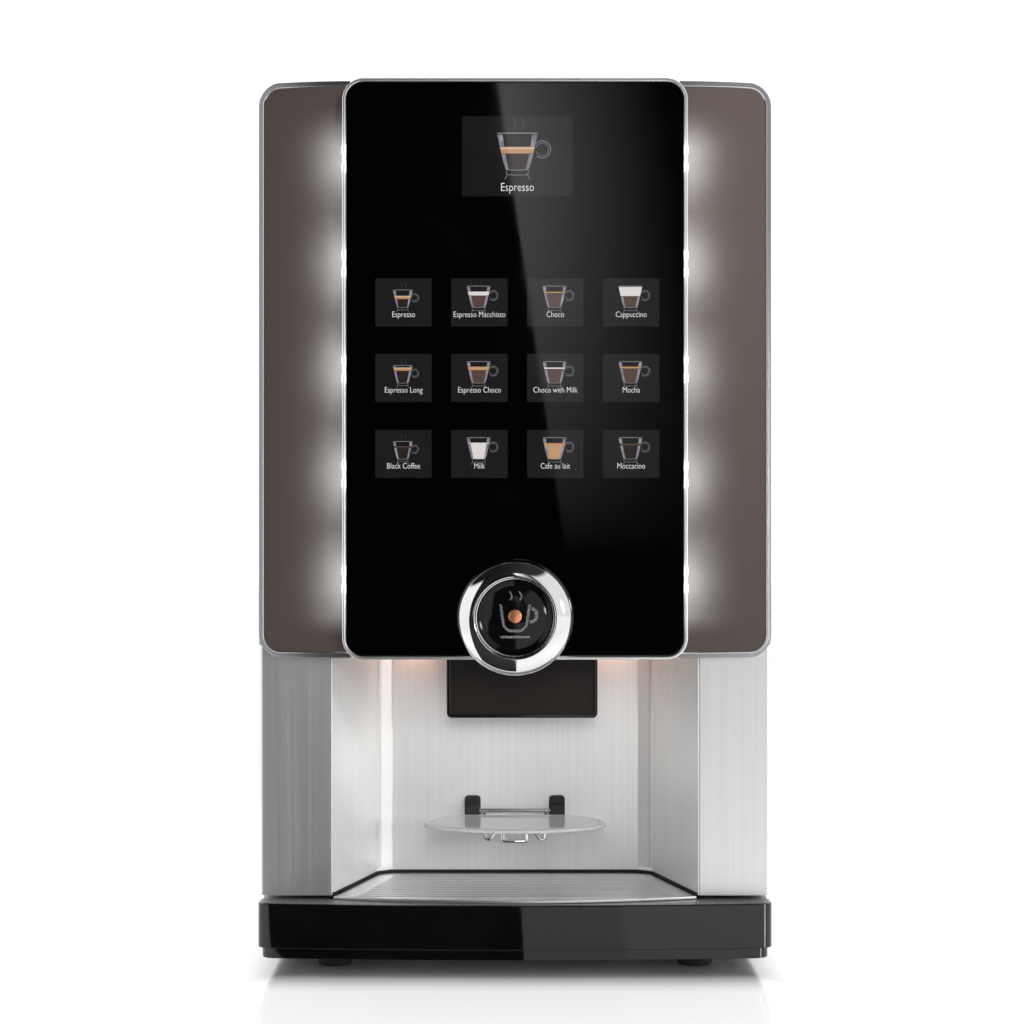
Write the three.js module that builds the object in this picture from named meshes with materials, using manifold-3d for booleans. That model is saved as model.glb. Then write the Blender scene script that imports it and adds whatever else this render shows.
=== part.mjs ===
// Table-top hot coffee vending machine, in millimetres.
// +Z is up, the front faces -Y, and the origin lies on the floor under the middle of the machine.
import * as THREE from "three";
import { mergeVertices } from "three/addons/utils/BufferGeometryUtils.js";
import Module from "manifold-3d";

const wasm = await Module();
wasm.setup();

// ---------- driving dimensions ----------

const WIDTH = 410;
const HALF = WIDTH / 2;
const GAP = 0.3; // left between pieces that touch
const SHEET = 1.5; // sheet-metal thickness
const MOULDED = 2; // wall of a moulded plastic piece

// Planes from front to back
const EMBLEM_FRONT = -270;
const GLASS_FRONT = -247;
const WING_CREST = -240; // wing surface beside the glass
const WING_EDGE = -226; // wing surface at the machine's outer edge
const COLUMN_FRONT = -222;
const DOOR_REAR = -141.5;
const CABINET_FRONT = -140;
const NICHE_BACK = -105;
const BULKHEAD_FRONT = 80;
const CABINET_REAR = 258;
const FITTINGS_REAR = 270;

// Levels from floor to top
const FOOT_HEIGHT = 17.7;
const CHASSIS_BOTTOM = 18;
const BASE_TOP = 58;
const DOOR_BOTTOM = 61.3;
const GLASS_BOTTOM = 252;
const WING_BOTTOM = 253;
const NICHE_TOP = 262.2;
const CABINET_TOP = 700;
const WING_TOP = 711;
const GLASS_TOP = 712;

// Fascia
const GLASS_HALF_WIDTH = 136.8;
const GLASS_CORNER = 17;
const BEZEL = 2.8;
const WING_INNER = 127.3;
const WING_CORNER = 18;
const TRIM = 4.3;
const EMBLEM_Z = 286;
const EMBLEM_RADIUS = 46;
const CAP_RADIUS = 31;
const DISPLAY_Z = 650;
const DISPLAY_SIZE = { width: 87.2, height: 63.2 };

// Door hinge, at the rear left edge of the door
const HINGE_RADIUS = 8.5;
const HINGE_X = -HALF + HINGE_RADIUS;
const HINGE_Y = DOOR_REAR - HINGE_RADIUS;
const PIN_RADIUS = 2.7;

// Niche, columns and cup shelf
const COLUMN_WIDTH = 56.7;
const NICHE_HALF_FRONT = 146.8;
const NICHE_HALF_REAR = 117;
const NICHE_CORNER = { across: 12.5, deep: 9 };
const LINER = 1.2;
const SPOUT_X = 6;
const SPOUT_BOTTOM = 198;
const DUCT_HALF = 34; // opening in the niche roof that the outlets reach through
const SPOUT_RETURN = 14; // how far the cover's sides reach back, clear of the folded shelf
const SHELF_PIVOT = { y: -112.5, z: 114.5, radius: 1.8 };
const SHELF_BOTTOM = 109.3;
const SHELF_THICKNESS = 3;
const BRACKET_X = 36;

// Feet
const FEET_X = 147;
const FRONT_FEET_Y = -188;
const REAR_FEET_Y = 228;

// Lock in the right side of the door
const LOCK = { y: -170, z: 480, radius: 9 };

// Drip drawer
const BAND_FRONT = -250;
const BAND_BOTTOM = 22;
const LIP_BOTTOM = 14; // lower edge, set back under the band
const GRILLE_TOP = 60.7;
const GRILLE_THICKNESS = 2.4;

// Inside the cabinet
const BEANS_X = -130; // axis of hopper, grinder and brewer
const BEANS_Y = -30;
const POWDER_X = [45, 130]; // the two powder systems
const AUGER_Z = 525;
const WHIPPER_Z = 405;
const BOWL_Y = -98;
const BOILER = { x: -110, y: 160 };
const MAINS_X = 125;
const WATER_X = -60;

// ---------- finishes ----------

const FINISHES = {
  steel: { color: 0xbcbdbe, roughness: 0.34, metalness: 0.9 },
  zinc: { color: 0xa6a8a8, roughness: 0.5, metalness: 0.8 },
  chrome: { color: 0xe8e8ea, roughness: 0.08, metalness: 1 },
  silver: { color: 0xc6c6c8, roughness: 0.28, metalness: 0.85 },
  brown: { color: 0x544943, roughness: 0.38, metalness: 0.4 },
  glass: { color: 0x050506, roughness: 0.05, metalness: 0 },
  gloss: { color: 0x0c0c0d, roughness: 0.15, metalness: 0 },
  black: { color: 0x1b1a19, roughness: 0.6, metalness: 0 },
  clear: { color: 0xdfe6e6, roughness: 0.05, metalness: 0 },
  smoke: { color: 0x4a403a, roughness: 0.1, metalness: 0 },
  grey: { color: 0x4c4f52, roughness: 0.5, metalness: 0.3 },
  white: { color: 0xe3e1dc, roughness: 0.45, metalness: 0 },
  rubber: { color: 0x161616, roughness: 0.85, metalness: 0 },
  brass: { color: 0xb59a5b, roughness: 0.35, metalness: 0.9 },
};

// ---------- solids ----------

function solidOf(geometry) {
  for (const name of Object.keys(geometry.attributes)) {
    if (name !== "position") geometry.deleteAttribute(name);
  }
  const merged = mergeVertices(geometry, 1e-3);
  return new wasm.Manifold(
    new wasm.Mesh({
      numProp: 3,
      vertProperties: merged.attributes.position.array,
      triVerts: new Uint32Array(merged.index.array),
    }),
  );
}

function box(x0, x1, y0, y1, z0, z1) {
  const geometry = new THREE.BoxGeometry(x1 - x0, y1 - y0, z1 - z0);
  geometry.translate((x0 + x1) / 2, (y0 + y1) / 2, (z0 + z1) / 2);
  return solidOf(geometry);
}

function polygon(points) {
  return new THREE.Shape(points.map(([a, b]) => new THREE.Vector2(a, b)));
}

function roundedRect(x0, x1, y0, y1, radius) {
  const shape = new THREE.Shape();
  shape.absarc(x1 - radius, y1 - radius, radius, 0, Math.PI / 2);
  shape.absarc(x0 + radius, y1 - radius, radius, Math.PI / 2, Math.PI);
  shape.absarc(x0 + radius, y0 + radius, radius, Math.PI, 1.5 * Math.PI);
  shape.absarc(x1 - radius, y0 + radius, radius, 1.5 * Math.PI, 2 * Math.PI);
  return shape;
}

// A plan outline (x, y) standing from z0 to z1.
function upright(shape, z0, z1, curveSegments = 6) {
  const settings = { depth: z1 - z0, bevelEnabled: false, curveSegments };
  const geometry = new THREE.ExtrudeGeometry(shape, settings);
  geometry.translate(0, 0, z0);
  return solidOf(geometry);
}

// A front-view outline (x, z) reaching from y0 back to y1.
function frontal(shape, y0, y1, curveSegments = 6) {
  const settings = { depth: y1 - y0, bevelEnabled: false, curveSegments };
  const geometry = new THREE.ExtrudeGeometry(shape, settings);
  geometry.rotateX(Math.PI / 2);
  geometry.translate(0, y1, 0);
  return solidOf(geometry);
}

// A side-view outline (y, z) reaching from x0 to x1.
function sideways(shape, x0, x1, curveSegments = 6) {
  const settings = { depth: x1 - x0, bevelEnabled: false, curveSegments };
  const geometry = new THREE.ExtrudeGeometry(shape, settings);
  const turn = new THREE.Matrix4().makeBasis(
    new THREE.Vector3(0, 1, 0),
    new THREE.Vector3(0, 0, 1),
    new THREE.Vector3(1, 0, 0),
  );
  geometry.applyMatrix4(turn);
  geometry.translate(x0, 0, 0);
  return solidOf(geometry);
}

// A round bar between two points.
function rod(from, to, radius, segments = 12) {
  const start = new THREE.Vector3(...from);
  const end = new THREE.Vector3(...to);
  const along = end.clone().sub(start);
  const geometry = new THREE.CylinderGeometry(radius, radius, along.length(), segments);
  const up = new THREE.Vector3(0, 1, 0);
  const turn = new THREE.Quaternion().setFromUnitVectors(up, along.normalize());
  geometry.applyQuaternion(turn);
  const middle = start.add(end).multiplyScalar(0.5);
  geometry.translate(middle.x, middle.y, middle.z);
  return solidOf(geometry);
}

// A turned piece on a vertical axis, its profile given as (radius, z) from bottom to top.
function turned(profile, x, y, segments = 24) {
  const points = profile.map(([r, z]) => new THREE.Vector2(r, z));
  const geometry = new THREE.LatheGeometry(points, segments);
  geometry.rotateX(Math.PI / 2);
  geometry.translate(x, y, 0);
  return solidOf(geometry);
}

// A turned piece on an axis along Y, its profile given as (radius, y) from front to back.
function turnedAlongY(profile, x, z, segments = 24) {
  const points = profile.map(([r, y]) => new THREE.Vector2(r, y));
  const geometry = new THREE.LatheGeometry(points, segments);
  geometry.translate(x, 0, z);
  return solidOf(geometry);
}

function joined(...solids) {
  return solids.reduce((whole, next) => whole.add(next));
}

function cut(solid, ...tools) {
  return tools.reduce((rest, tool) => rest.subtract(tool), solid);
}

// ---------- scene graph ----------

const machine = new THREE.Group();
const mirrored = new THREE.Group();
mirrored.scale.x = -1;
machine.add(mirrored);

function meshOf(name, solid, finish) {
  const data = solid.getMesh();
  const geometry = new THREE.BufferGeometry();
  geometry.setAttribute("position", new THREE.BufferAttribute(data.vertProperties, 3));
  geometry.setIndex(new THREE.BufferAttribute(data.triVerts, 1));
  geometry.computeVertexNormals();
  const mesh = new THREE.Mesh(geometry, new THREE.MeshStandardMaterial(FINISHES[finish]));
  mesh.name = name;
  return mesh;
}

function place(name, solid, finish) {
  machine.add(meshOf(name, solid, finish));
}

// A piece built on the left (-X), and its mirror image on the right.
function placePair(name, solid, finish) {
  machine.add(meshOf(name + "_left", solid, finish));
  mirrored.add(meshOf(name + "_right", solid, finish));
}

// ---------- door: frame and covers ----------

// Plan of the door box. The rear hinge corner is round about the hinge axis, so it turns in place.
function doorOutline(inset) {
  const shape = new THREE.Shape();
  shape.moveTo(HALF - inset, COLUMN_FRONT + inset);
  shape.lineTo(HALF - inset, DOOR_REAR - inset);
  shape.absarc(HINGE_X, HINGE_Y, HINGE_RADIUS - inset, Math.PI / 2, Math.PI);
  shape.lineTo(-HALF + inset, COLUMN_FRONT + inset);
  return shape;
}

function doorFrame() {
  const bottom = NICHE_TOP + GAP;
  const top = CABINET_TOP - GAP;
  const coverRoom = 2; // the inner cover closes the rear
  const shell = upright(doorOutline(0), bottom, top);
  const hollow = upright(doorOutline(SHEET), bottom + SHEET, top - SHEET);
  const rear = box(-HALF, HALF, DOOR_REAR - coverRoom, DOOR_REAR + 1, bottom - 1, top + 1);
  const pinHole = rod([HINGE_X, HINGE_Y, top - 5], [HINGE_X, HINGE_Y, top + 5], PIN_RADIUS + GAP);
  const lockHole = rod(
    [HALF - 5, LOCK.y, LOCK.z],
    [HALF + 5, LOCK.y, LOCK.z],
    LOCK.radius + GAP,
    20,
  );
  const [left, right] = [SPOUT_X - DUCT_HALF, SPOUT_X + DUCT_HALF];
  const spoutDuct = box(left, right, -160, -145, bottom - 1, bottom + SHEET + 1);
  return cut(shell, hollow, rear, pinHole, lockHole, spoutDuct);
}

function doorInnerCover() {
  const left = HINGE_X + HINGE_RADIUS;
  const right = HALF - 20;
  const bottom = NICHE_TOP + GAP;
  const front = DOOR_REAR - 2 + GAP;
  let cover = box(left, right, front, DOOR_REAR, bottom, CABINET_TOP - GAP);
  const vents = 5;
  for (let i = 0; i < vents; i += 1) {
    const z = 640 + i * 10;
    cover = cut(cover, box(-60, 60, front - 1, DOOR_REAR + 1, z, z + 4));
  }
  return cover;
}

// Channel behind each side of the niche: front wall, outer wall, rear return and floor.
function column() {
  const inner = -HALF + COLUMN_WIDTH;
  const corner = 3;
  const outline = (inset) => {
    const shape = new THREE.Shape();
    shape.moveTo(inner + inset, COLUMN_FRONT + inset);
    shape.lineTo(inner + inset, DOOR_REAR - inset);
    shape.absarc(HINGE_X, HINGE_Y, HINGE_RADIUS - inset, Math.PI / 2, Math.PI);
    const radius = corner - inset;
    shape.absarc(-HALF + corner, COLUMN_FRONT + corner, radius, Math.PI, 1.5 * Math.PI);
    return shape;
  };
  const shell = upright(outline(0), DOOR_BOTTOM, NICHE_TOP);
  const hollow = upright(outline(SHEET), DOOR_BOTTOM + SHEET, NICHE_TOP + 1);
  const flange = 17; // width of the rear return
  const rear = box(-HALF + flange + 8, inner + 1, -160, 0, 0, NICHE_TOP + 1);
  const side = box(inner - 30, inner + 1, COLUMN_FRONT + SHEET, 0, 0, NICHE_TOP + 1);
  const pinHole = rod([HINGE_X, HINGE_Y, 50], [HINGE_X, HINGE_Y, 70], PIN_RADIUS + GAP);
  return cut(shell, hollow, rear, side, pinHole);
}

// ---------- door: niche ----------

// Plan of the niche wall: two slanting sides, two canted corners and a flat back.
function nichePoints(outward) {
  const rearHalf = NICHE_HALF_REAR - NICHE_CORNER.across;
  const half = [
    [NICHE_HALF_FRONT + outward, COLUMN_FRONT + 0.5],
    [NICHE_HALF_REAR + outward, NICHE_BACK - NICHE_CORNER.deep + outward / 2],
    [rearHalf + outward / 3, NICHE_BACK + outward],
  ];
  const left = half.map(([x, y]) => [-x, y]);
  return [...left, ...half.reverse()];
}

function nicheLiner() {
  const wall = upright(
    polygon([...nichePoints(LINER), ...nichePoints(0).reverse()]),
    DOOR_BOTTOM,
    NICHE_TOP,
  );
  const roof = upright(polygon(nichePoints(LINER)), NICHE_TOP - SHEET, NICHE_TOP);
  const [left, right] = [SPOUT_X - DUCT_HALF, SPOUT_X + DUCT_HALF];
  const duct = box(left, right, -160, -125, NICHE_TOP - 5, NICHE_TOP + 5);
  return cut(joined(wall, roof), duct);
}

function spoutCover() {
  const half = 62.5;
  const front = -162;
  const top = NICHE_TOP - SHEET - GAP;
  const corner = 4;
  const outer = roundedRect(SPOUT_X - half, SPOUT_X + half, SPOUT_BOTTOM, top + 9, corner);
  const hood = frontal(outer, front, NICHE_BACK - GAP, 4);
  const above = box(-HALF, HALF, front - 1, 0, top, top + 20);
  const inside = box(
    SPOUT_X - half + MOULDED,
    SPOUT_X + half - MOULDED,
    front + MOULDED,
    0,
    SPOUT_BOTTOM - 1,
    top - MOULDED,
  );
  const duct = box(SPOUT_X - DUCT_HALF, SPOUT_X + DUCT_HALF, -158, -125, top - 5, top + 5);
  const behind = box(-HALF, HALF, front + SPOUT_RETURN, 0, SPOUT_BOTTOM - 1, top - MOULDED);
  return cut(hood, above, inside, duct, behind);
}

// Block that the hoses plug into, with the three outlets that pour into the cup.
function nozzleBlock() {
  const y = -146;
  const top = NICHE_TOP - 6;
  const tip = 215; // clear of the shelf's front edge as it folds up
  let block = box(SPOUT_X - 30, SPOUT_X + 30, y - 7, y + 7, tip + 11, top);
  for (const side of [-1, 0, 1]) {
    const x = SPOUT_X + side * 18;
    block = joined(block, rod([x, y, tip], [x, y, tip + 15], 5.5, 12));
    block = cut(block, rod([x, y, tip - 5], [x, y, top + 5], 3.5, 10));
  }
  return block;
}

function shelfBracket() {
  const half = 6.8;
  const rear = NICHE_BACK - GAP;
  const { y, z, radius } = SHELF_PIVOT;
  const left = -BRACKET_X - half;
  const plateShape = roundedRect(left, left + 2 * half, 99.5, 126.5, 3);
  const plate = frontal(plateShape, rear - 3, rear, 3);
  const ear = box(left + 1, left + 2 * half - 1, y - 4.5, rear - 1, z - 5, z + 5);
  const bore = rod([left + 2.5, y, z], [left + 2 * half + 1, y, z], radius + GAP);
  return cut(joined(plate, ear), bore);
}

// ---------- door: fascia ----------

function glassOutline(inset) {
  return roundedRect(
    -GLASS_HALF_WIDTH + inset,
    GLASS_HALF_WIDTH - inset,
    GLASS_BOTTOM + inset,
    GLASS_TOP - inset,
    GLASS_CORNER - inset,
  );
}

function glassBezel() {
  const shape = glassOutline(0);
  shape.holes.push(glassOutline(BEZEL));
  return frontal(shape, GLASS_FRONT - 0.5, GLASS_FRONT + 5.8);
}

function glassPanel() {
  return frontal(glassOutline(BEZEL + GAP), GLASS_FRONT, GLASS_FRONT + 4);
}

// Black tray behind the glass that holds the display and the touch sensors.
function panelCarrier() {
  const half = WING_INNER - 0.8;
  const front = WING_CREST - 0.2;
  const rear = COLUMN_FRONT - GAP;
  const bottom = WING_BOTTOM + 3;
  const top = WING_TOP - 3;
  const block = box(-half, half, front, rear, bottom, top);
  const pocket = box(
    -half + MOULDED,
    half - MOULDED,
    front + MOULDED,
    rear + 1,
    bottom + MOULDED,
    top - MOULDED,
  );
  const halfWindow = DISPLAY_SIZE.width / 2 + GAP;
  const halfHeight = DISPLAY_SIZE.height / 2 + GAP;
  const window = box(
    -halfWindow,
    halfWindow,
    front - 1,
    front + 5,
    DISPLAY_Z - halfHeight,
    DISPLAY_Z + halfHeight,
  );
  return cut(block, pocket, window);
}

function displayModule() {
  const halfWidth = DISPLAY_SIZE.width / 2;
  const halfHeight = DISPLAY_SIZE.height / 2;
  const screenFront = GLASS_FRONT + 4.4;
  const screen = box(
    -halfWidth,
    halfWidth,
    screenFront,
    screenFront + 8,
    DISPLAY_Z - halfHeight,
    DISPLAY_Z + halfHeight,
  );
  const board = box(-54, 54, screenFront + 5, screenFront + 11, DISPLAY_Z - 38, DISPLAY_Z + 38);
  return joined(screen, board);
}

// Plan of one wing: its surface falls away from the glass towards the outer edge.
function wingPlan(inner, proud) {
  const steps = 8;
  const points = [];
  for (let i = 0; i <= steps; i += 1) {
    const x = inner + ((HALF - inner) * i) / steps;
    const t = (x - WING_INNER) / (HALF - WING_INNER);
    points.push([-x, WING_CREST + (WING_EDGE - WING_CREST) * t * t - proud]);
  }
  const rear = COLUMN_FRONT - GAP;
  return polygon([...points, [-HALF, rear], [-inner, rear]]);
}

// Front view of one wing: a tall plate with its two outer corners rounded.
function wingOutline(inset) {
  const radius = WING_CORNER - inset;
  const shape = new THREE.Shape();
  const bottom = WING_BOTTOM + inset;
  const top = WING_TOP - inset;
  const outer = -HALF + inset;
  shape.moveTo(-WING_INNER, bottom);
  shape.lineTo(-WING_INNER, top);
  shape.absarc(outer + radius, top - radius, radius, Math.PI / 2, Math.PI);
  shape.absarc(outer + radius, bottom + radius, radius, Math.PI, 1.5 * Math.PI);
  return shape;
}

function wing() {
  const plate = upright(wingPlan(WING_INNER, 0), WING_BOTTOM, WING_TOP);
  const outline = frontal(wingOutline(TRIM + GAP), -260, -200);
  const hollowPlan = upright(wingPlan(WING_INNER, -2.5), WING_BOTTOM + 8, WING_TOP - 8);
  const hollow = hollowPlan.intersect(
    box(-HALF + 26, -WING_INNER - 2, -250, -200, WING_BOTTOM + 8, WING_TOP - 8),
  );
  return cut(plate.intersect(outline), hollow);
}

function wingTrim() {
  const plate = upright(wingPlan(GLASS_HALF_WIDTH - 6, 0.6), WING_BOTTOM, WING_TOP);
  const outer = frontal(wingOutline(0), -260, -200);
  const inner = frontal(wingOutline(TRIM), -270, -190);
  const pastEdge = box(-WING_INNER - 1, 0, -270, -190, 0, HALF * 4);
  return cut(plate.intersect(outer), inner, pastEdge);
}

function emblemRing() {
  const rear = GLASS_FRONT - 0.8;
  const profile = [
    [CAP_RADIUS + GAP, EMBLEM_FRONT + 3.5],
    [CAP_RADIUS + 2.5, EMBLEM_FRONT + 0.8],
    [CAP_RADIUS + 6, EMBLEM_FRONT],
    [EMBLEM_RADIUS - 5, EMBLEM_FRONT + 1.6],
    [EMBLEM_RADIUS - 1.5, EMBLEM_FRONT + 5],
    [EMBLEM_RADIUS, EMBLEM_FRONT + 10],
    [EMBLEM_RADIUS, rear],
    [CAP_RADIUS + GAP, rear],
    [CAP_RADIUS + GAP, EMBLEM_FRONT + 3.5],
  ];
  return turnedAlongY(profile, 0, EMBLEM_Z, 32);
}

function emblemCap() {
  const rear = GLASS_FRONT - 0.8;
  const profile = [
    [0, EMBLEM_FRONT + 1.5],
    [12, EMBLEM_FRONT + 2.2],
    [22, EMBLEM_FRONT + 4.6],
    [28, EMBLEM_FRONT + 7.6],
    [CAP_RADIUS, EMBLEM_FRONT + 10.5],
    [CAP_RADIUS, rear],
    [0, rear],
  ];
  return turnedAlongY(profile, 0, EMBLEM_Z, 32);
}

// Key barrel in the right side of the door, with the cam that turns behind the cabinet edge.
function lockCylinder() {
  const outer = HALF;
  const inner = HALF - 15;
  const barrel = rod([inner, LOCK.y, LOCK.z], [outer, LOCK.y, LOCK.z], LOCK.radius, 20);
  const keyway = box(outer - 5, outer + 1, LOCK.y - 1, LOCK.y + 1, LOCK.z - 5, LOCK.z + 5);
  const cam = box(inner - 2, inner + 0.5, LOCK.y - 5, LOCK.y + 5, LOCK.z - 5, LOCK.z + 38);
  return joined(cut(barrel, keyway), cam);
}

// ---------- cup shelf ----------

function shelfPlate() {
  const rear = -122;
  const widest = -172;
  const half = 75;
  const rearReach = 62; // the rear half is a deeper ellipse, cut straight at the rear
  const rearAngle = Math.asin((rear - widest) / rearReach);
  const shape = new THREE.Shape();
  shape.absellipse(0, widest, half, rearReach, Math.PI - rearAngle, Math.PI);
  shape.absellipse(0, widest, half, 42, Math.PI, 2 * Math.PI);
  shape.absellipse(0, widest, half, rearReach, 0, rearAngle);
  return upright(shape, SHELF_BOTTOM, SHELF_BOTTOM + SHELF_THICKNESS, 8);
}

// Wire frame that carries the plate, turns in the two brackets and ends in a grip under the plate.
function shelfWire() {
  const { y, z, radius } = SHELF_PIVOT;
  const wire = 1.6;
  const underZ = SHELF_BOTTOM - GAP - wire;
  const armX = 26;
  const gripY = -172;
  const gripHalf = 10;
  const gripZ = 97;
  const points = [
    [armX, y, z],
    [armX, y - 7, underZ],
    [armX, gripY, underZ],
    [armX - 4, gripY, underZ - 7],
    [armX - 8, gripY, underZ],
    [gripHalf, gripY, underZ],
    [gripHalf, gripY, gripZ],
    [-gripHalf, gripY, gripZ],
  ];
  const bars = [rod([-40, y, z], [40, y, z], radius)];
  for (let i = 0; i + 1 < points.length; i += 1) {
    const [from, to] = [points[i], points[i + 1]];
    bars.push(rod(from, to, wire, 8));
    if (i < points.length - 2) {
      bars.push(rod([-from[0], from[1], from[2]], [-to[0], to[1], to[2]], wire, 8));
    }
  }
  return joined(...bars);
}

// ---------- drip drawer ----------

// Plan of the bowed band along the bottom of the machine, open to the rear at y = rear.
function bandOutline(inset, rear) {
  const side = HALF - inset;
  const corner = 12;
  const cornerY = BAND_FRONT + 8.8 + inset;
  const shape = new THREE.Shape();
  shape.moveTo(-side, rear);
  shape.lineTo(-side, cornerY + corner);
  shape.quadraticCurveTo(-side, cornerY + 1, -side + corner, cornerY);
  shape.quadraticCurveTo(0, BAND_FRONT - 8.8 + inset, side - corner, cornerY);
  shape.quadraticCurveTo(side, cornerY + 1, side, cornerY + corner);
  shape.lineTo(side, rear);
  return shape;
}

// Plan of the grille and tray: the niche floor, with a front edge that bows forward.
function trayOutline(inset) {
  const frontHalf = NICHE_HALF_FRONT - 1.3 - inset;
  const rearHalf = NICHE_HALF_REAR - 1.5 - inset;
  const rear = NICHE_BACK - 2 - inset;
  const shape = new THREE.Shape();
  shape.moveTo(-frontHalf, COLUMN_FRONT + inset);
  shape.quadraticCurveTo(0, COLUMN_FRONT - 42 + inset, frontHalf, COLUMN_FRONT + inset);
  shape.lineTo(rearHalf, rear - NICHE_CORNER.deep);
  shape.lineTo(rearHalf - NICHE_CORNER.across, rear);
  shape.lineTo(-rearHalf + NICHE_CORNER.across, rear);
  shape.lineTo(-rearHalf, rear - NICHE_CORNER.deep);
  return shape;
}

function dripDrawerFront() {
  const rear = COLUMN_FRONT + 2.3;
  const wall = 4;
  const band = upright(bandOutline(0, rear), BAND_BOTTOM, BASE_TOP, 12);
  const lip = upright(bandOutline(3, rear), LIP_BOTTOM, BAND_BOTTOM + 1, 12);
  const pocket = upright(bandOutline(wall, rear + 5), LIP_BOTTOM - 1, BASE_TOP - wall, 12);
  const trayHole = upright(trayOutline(3.4), BASE_TOP - 10, BASE_TOP + 5, 12);
  return cut(joined(band, lip), pocket, trayHole);
}

function dripTray() {
  const bottom = 26;
  const outer = upright(trayOutline(4), bottom, BASE_TOP - 0.1, 12);
  const inner = upright(trayOutline(4 + MOULDED), bottom + MOULDED, BASE_TOP + 5, 12);
  return cut(outer, inner);
}

function dripGrille() {
  const bottom = GRILLE_TOP - GRILLE_THICKNESS;
  let grille = upright(trayOutline(0), bottom, GRILLE_TOP, 12);
  const slots = 14;
  const pitch = 8;
  const slotDepth = 4.6;
  for (let i = 0; i < slots; i += 1) {
    const y = NICHE_BACK - 12 - i * pitch;
    const along = (NICHE_BACK - y) / (NICHE_BACK - COLUMN_FRONT);
    const half = NICHE_HALF_REAR - 19 + along * (NICHE_HALF_FRONT - NICHE_HALF_REAR);
    grille = cut(grille, box(-half, half, y - slotDepth, y, bottom - 1, GRILLE_TOP + 1));
  }
  return grille;
}

// ---------- cabinet ----------

// Welded base: a bay for the drip tray in front, a deck behind, and a floor strip over each pair of feet.
function chassisBase() {
  const half = HALF - 2;
  const front = COLUMN_FRONT + 3;
  const bayHalf = 150;
  const bayRear = NICHE_BACK + 8;
  const deckUnder = BASE_TOP - 3;
  const block = box(-half, half, front, CABINET_REAR, CHASSIS_BOTTOM, BASE_TOP);
  const bay = box(-bayHalf, bayHalf, front - 1, bayRear, CHASSIS_BOTTOM + 2, BASE_TOP + 1);
  const beam = box(-half + 3, -bayHalf - 3, front + 3, bayRear, CHASSIS_BOTTOM - 1, deckUnder);
  const beamRight = box(bayHalf + 3, half - 3, front + 3, bayRear, CHASSIS_BOTTOM - 1, deckUnder);
  const middle = box(-half + 3, half - 3, bayRear + 4, 205, CHASSIS_BOTTOM - 1, deckUnder);
  const rear = box(-half + 3, half - 3, 200, CABINET_REAR - 3, CHASSIS_BOTTOM + 2, deckUnder);
  const pinHole = rod([HINGE_X, HINGE_Y, 40], [HINGE_X, HINGE_Y, 65], PIN_RADIUS + GAP);
  return cut(block, bay, beam, beamRight, middle, rear, pinHole);
}

function foot(x, y) {
  const profile = [
    [0, 0],
    [13, 0],
    [14.5, 2.5],
    [13.2, 12],
    [9, 13],
    [9, FOOT_HEIGHT],
    [0, FOOT_HEIGHT],
  ];
  return turned(profile, x, y, 20);
}

function sidePanel() {
  const flange = 14;
  const inner = -HALF + SHEET;
  const outline = polygon([
    [-HALF, CABINET_FRONT],
    [-HALF + flange, CABINET_FRONT],
    [-HALF + flange, CABINET_FRONT + SHEET],
    [inner, CABINET_FRONT + SHEET],
    [inner, CABINET_REAR - SHEET],
    [-HALF + flange, CABINET_REAR - SHEET],
    [-HALF + flange, CABINET_REAR],
    [-HALF, CABINET_REAR],
  ]);
  return upright(outline, BASE_TOP + GAP, CABINET_TOP);
}

function rearPanel() {
  const rear = CABINET_REAR - SHEET - GAP;
  const front = rear - SHEET;
  const half = HALF - SHEET - GAP;
  let panel = box(-half, half, front, rear, BASE_TOP + GAP, CABINET_TOP - GAP);
  const louvres = 8;
  for (let i = 0; i < louvres; i += 1) {
    const z = 520 + i * 16;
    panel = cut(panel, box(-90, 90, front - 1, rear + 1, z, z + 5));
  }
  const mains = box(MAINS_X - 32, MAINS_X + 32, front - 1, rear + 1, 83, 117);
  const water = rod([WATER_X, front - 1, 100], [WATER_X, rear + 1, 100], 15, 20);
  return cut(panel, mains, water);
}

// Fixed top with the service hatch and the lug that holds the door's upper hinge pin.
function topFrame() {
  const bottom = CABINET_TOP + GAP;
  const top = bottom + SHEET;
  const plate = box(-HALF, HALF, CABINET_FRONT, CABINET_REAR, bottom, top);
  const lug = box(-HALF, HINGE_X + 10, HINGE_Y - 8, CABINET_FRONT + 5, bottom, top);
  const hatch = box(-188, 188, -125, 145, bottom - 1, top + 1);
  const pinHole = rod([HINGE_X, HINGE_Y, bottom - 1], [HINGE_X, HINGE_Y, top + 1], PIN_RADIUS + GAP);
  return cut(joined(plate, lug), hatch, pinHole);
}

function topLid() {
  const bottom = CABINET_TOP + SHEET + 2 * GAP;
  const top = bottom + 4;
  const pan = box(-196, 196, -134, 156, bottom, top);
  const under = box(-194.5, 194.5, -132.5, 154.5, bottom - 1, top - SHEET);
  return cut(pan, under);
}

function bulkhead() {
  const half = HALF - SHEET - GAP;
  const bottom = BASE_TOP + GAP;
  return box(-half, half, BULKHEAD_FRONT, BULKHEAD_FRONT + 2, bottom, CABINET_TOP - GAP);
}

function hingePinBottom() {
  const profile = [
    [0, 44],
    [PIN_RADIUS, 44],
    [PIN_RADIUS, BASE_TOP + GAP],
    [5, BASE_TOP + GAP],
    [5, DOOR_BOTTOM - GAP],
    [PIN_RADIUS, DOOR_BOTTOM - GAP],
    [PIN_RADIUS, 76],
    [0, 76],
  ];
  return turned(profile, HINGE_X, HINGE_Y, 12);
}

function hingePinTop() {
  const underHead = CABINET_TOP + SHEET + 2 * GAP;
  const profile = [
    [0, 686],
    [PIN_RADIUS, 686],
    [PIN_RADIUS, underHead],
    [5, underHead],
    [5, underHead + 2],
    [0, underHead + 2],
  ];
  return turned(profile, HINGE_X, HINGE_Y, 12);
}

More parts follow.
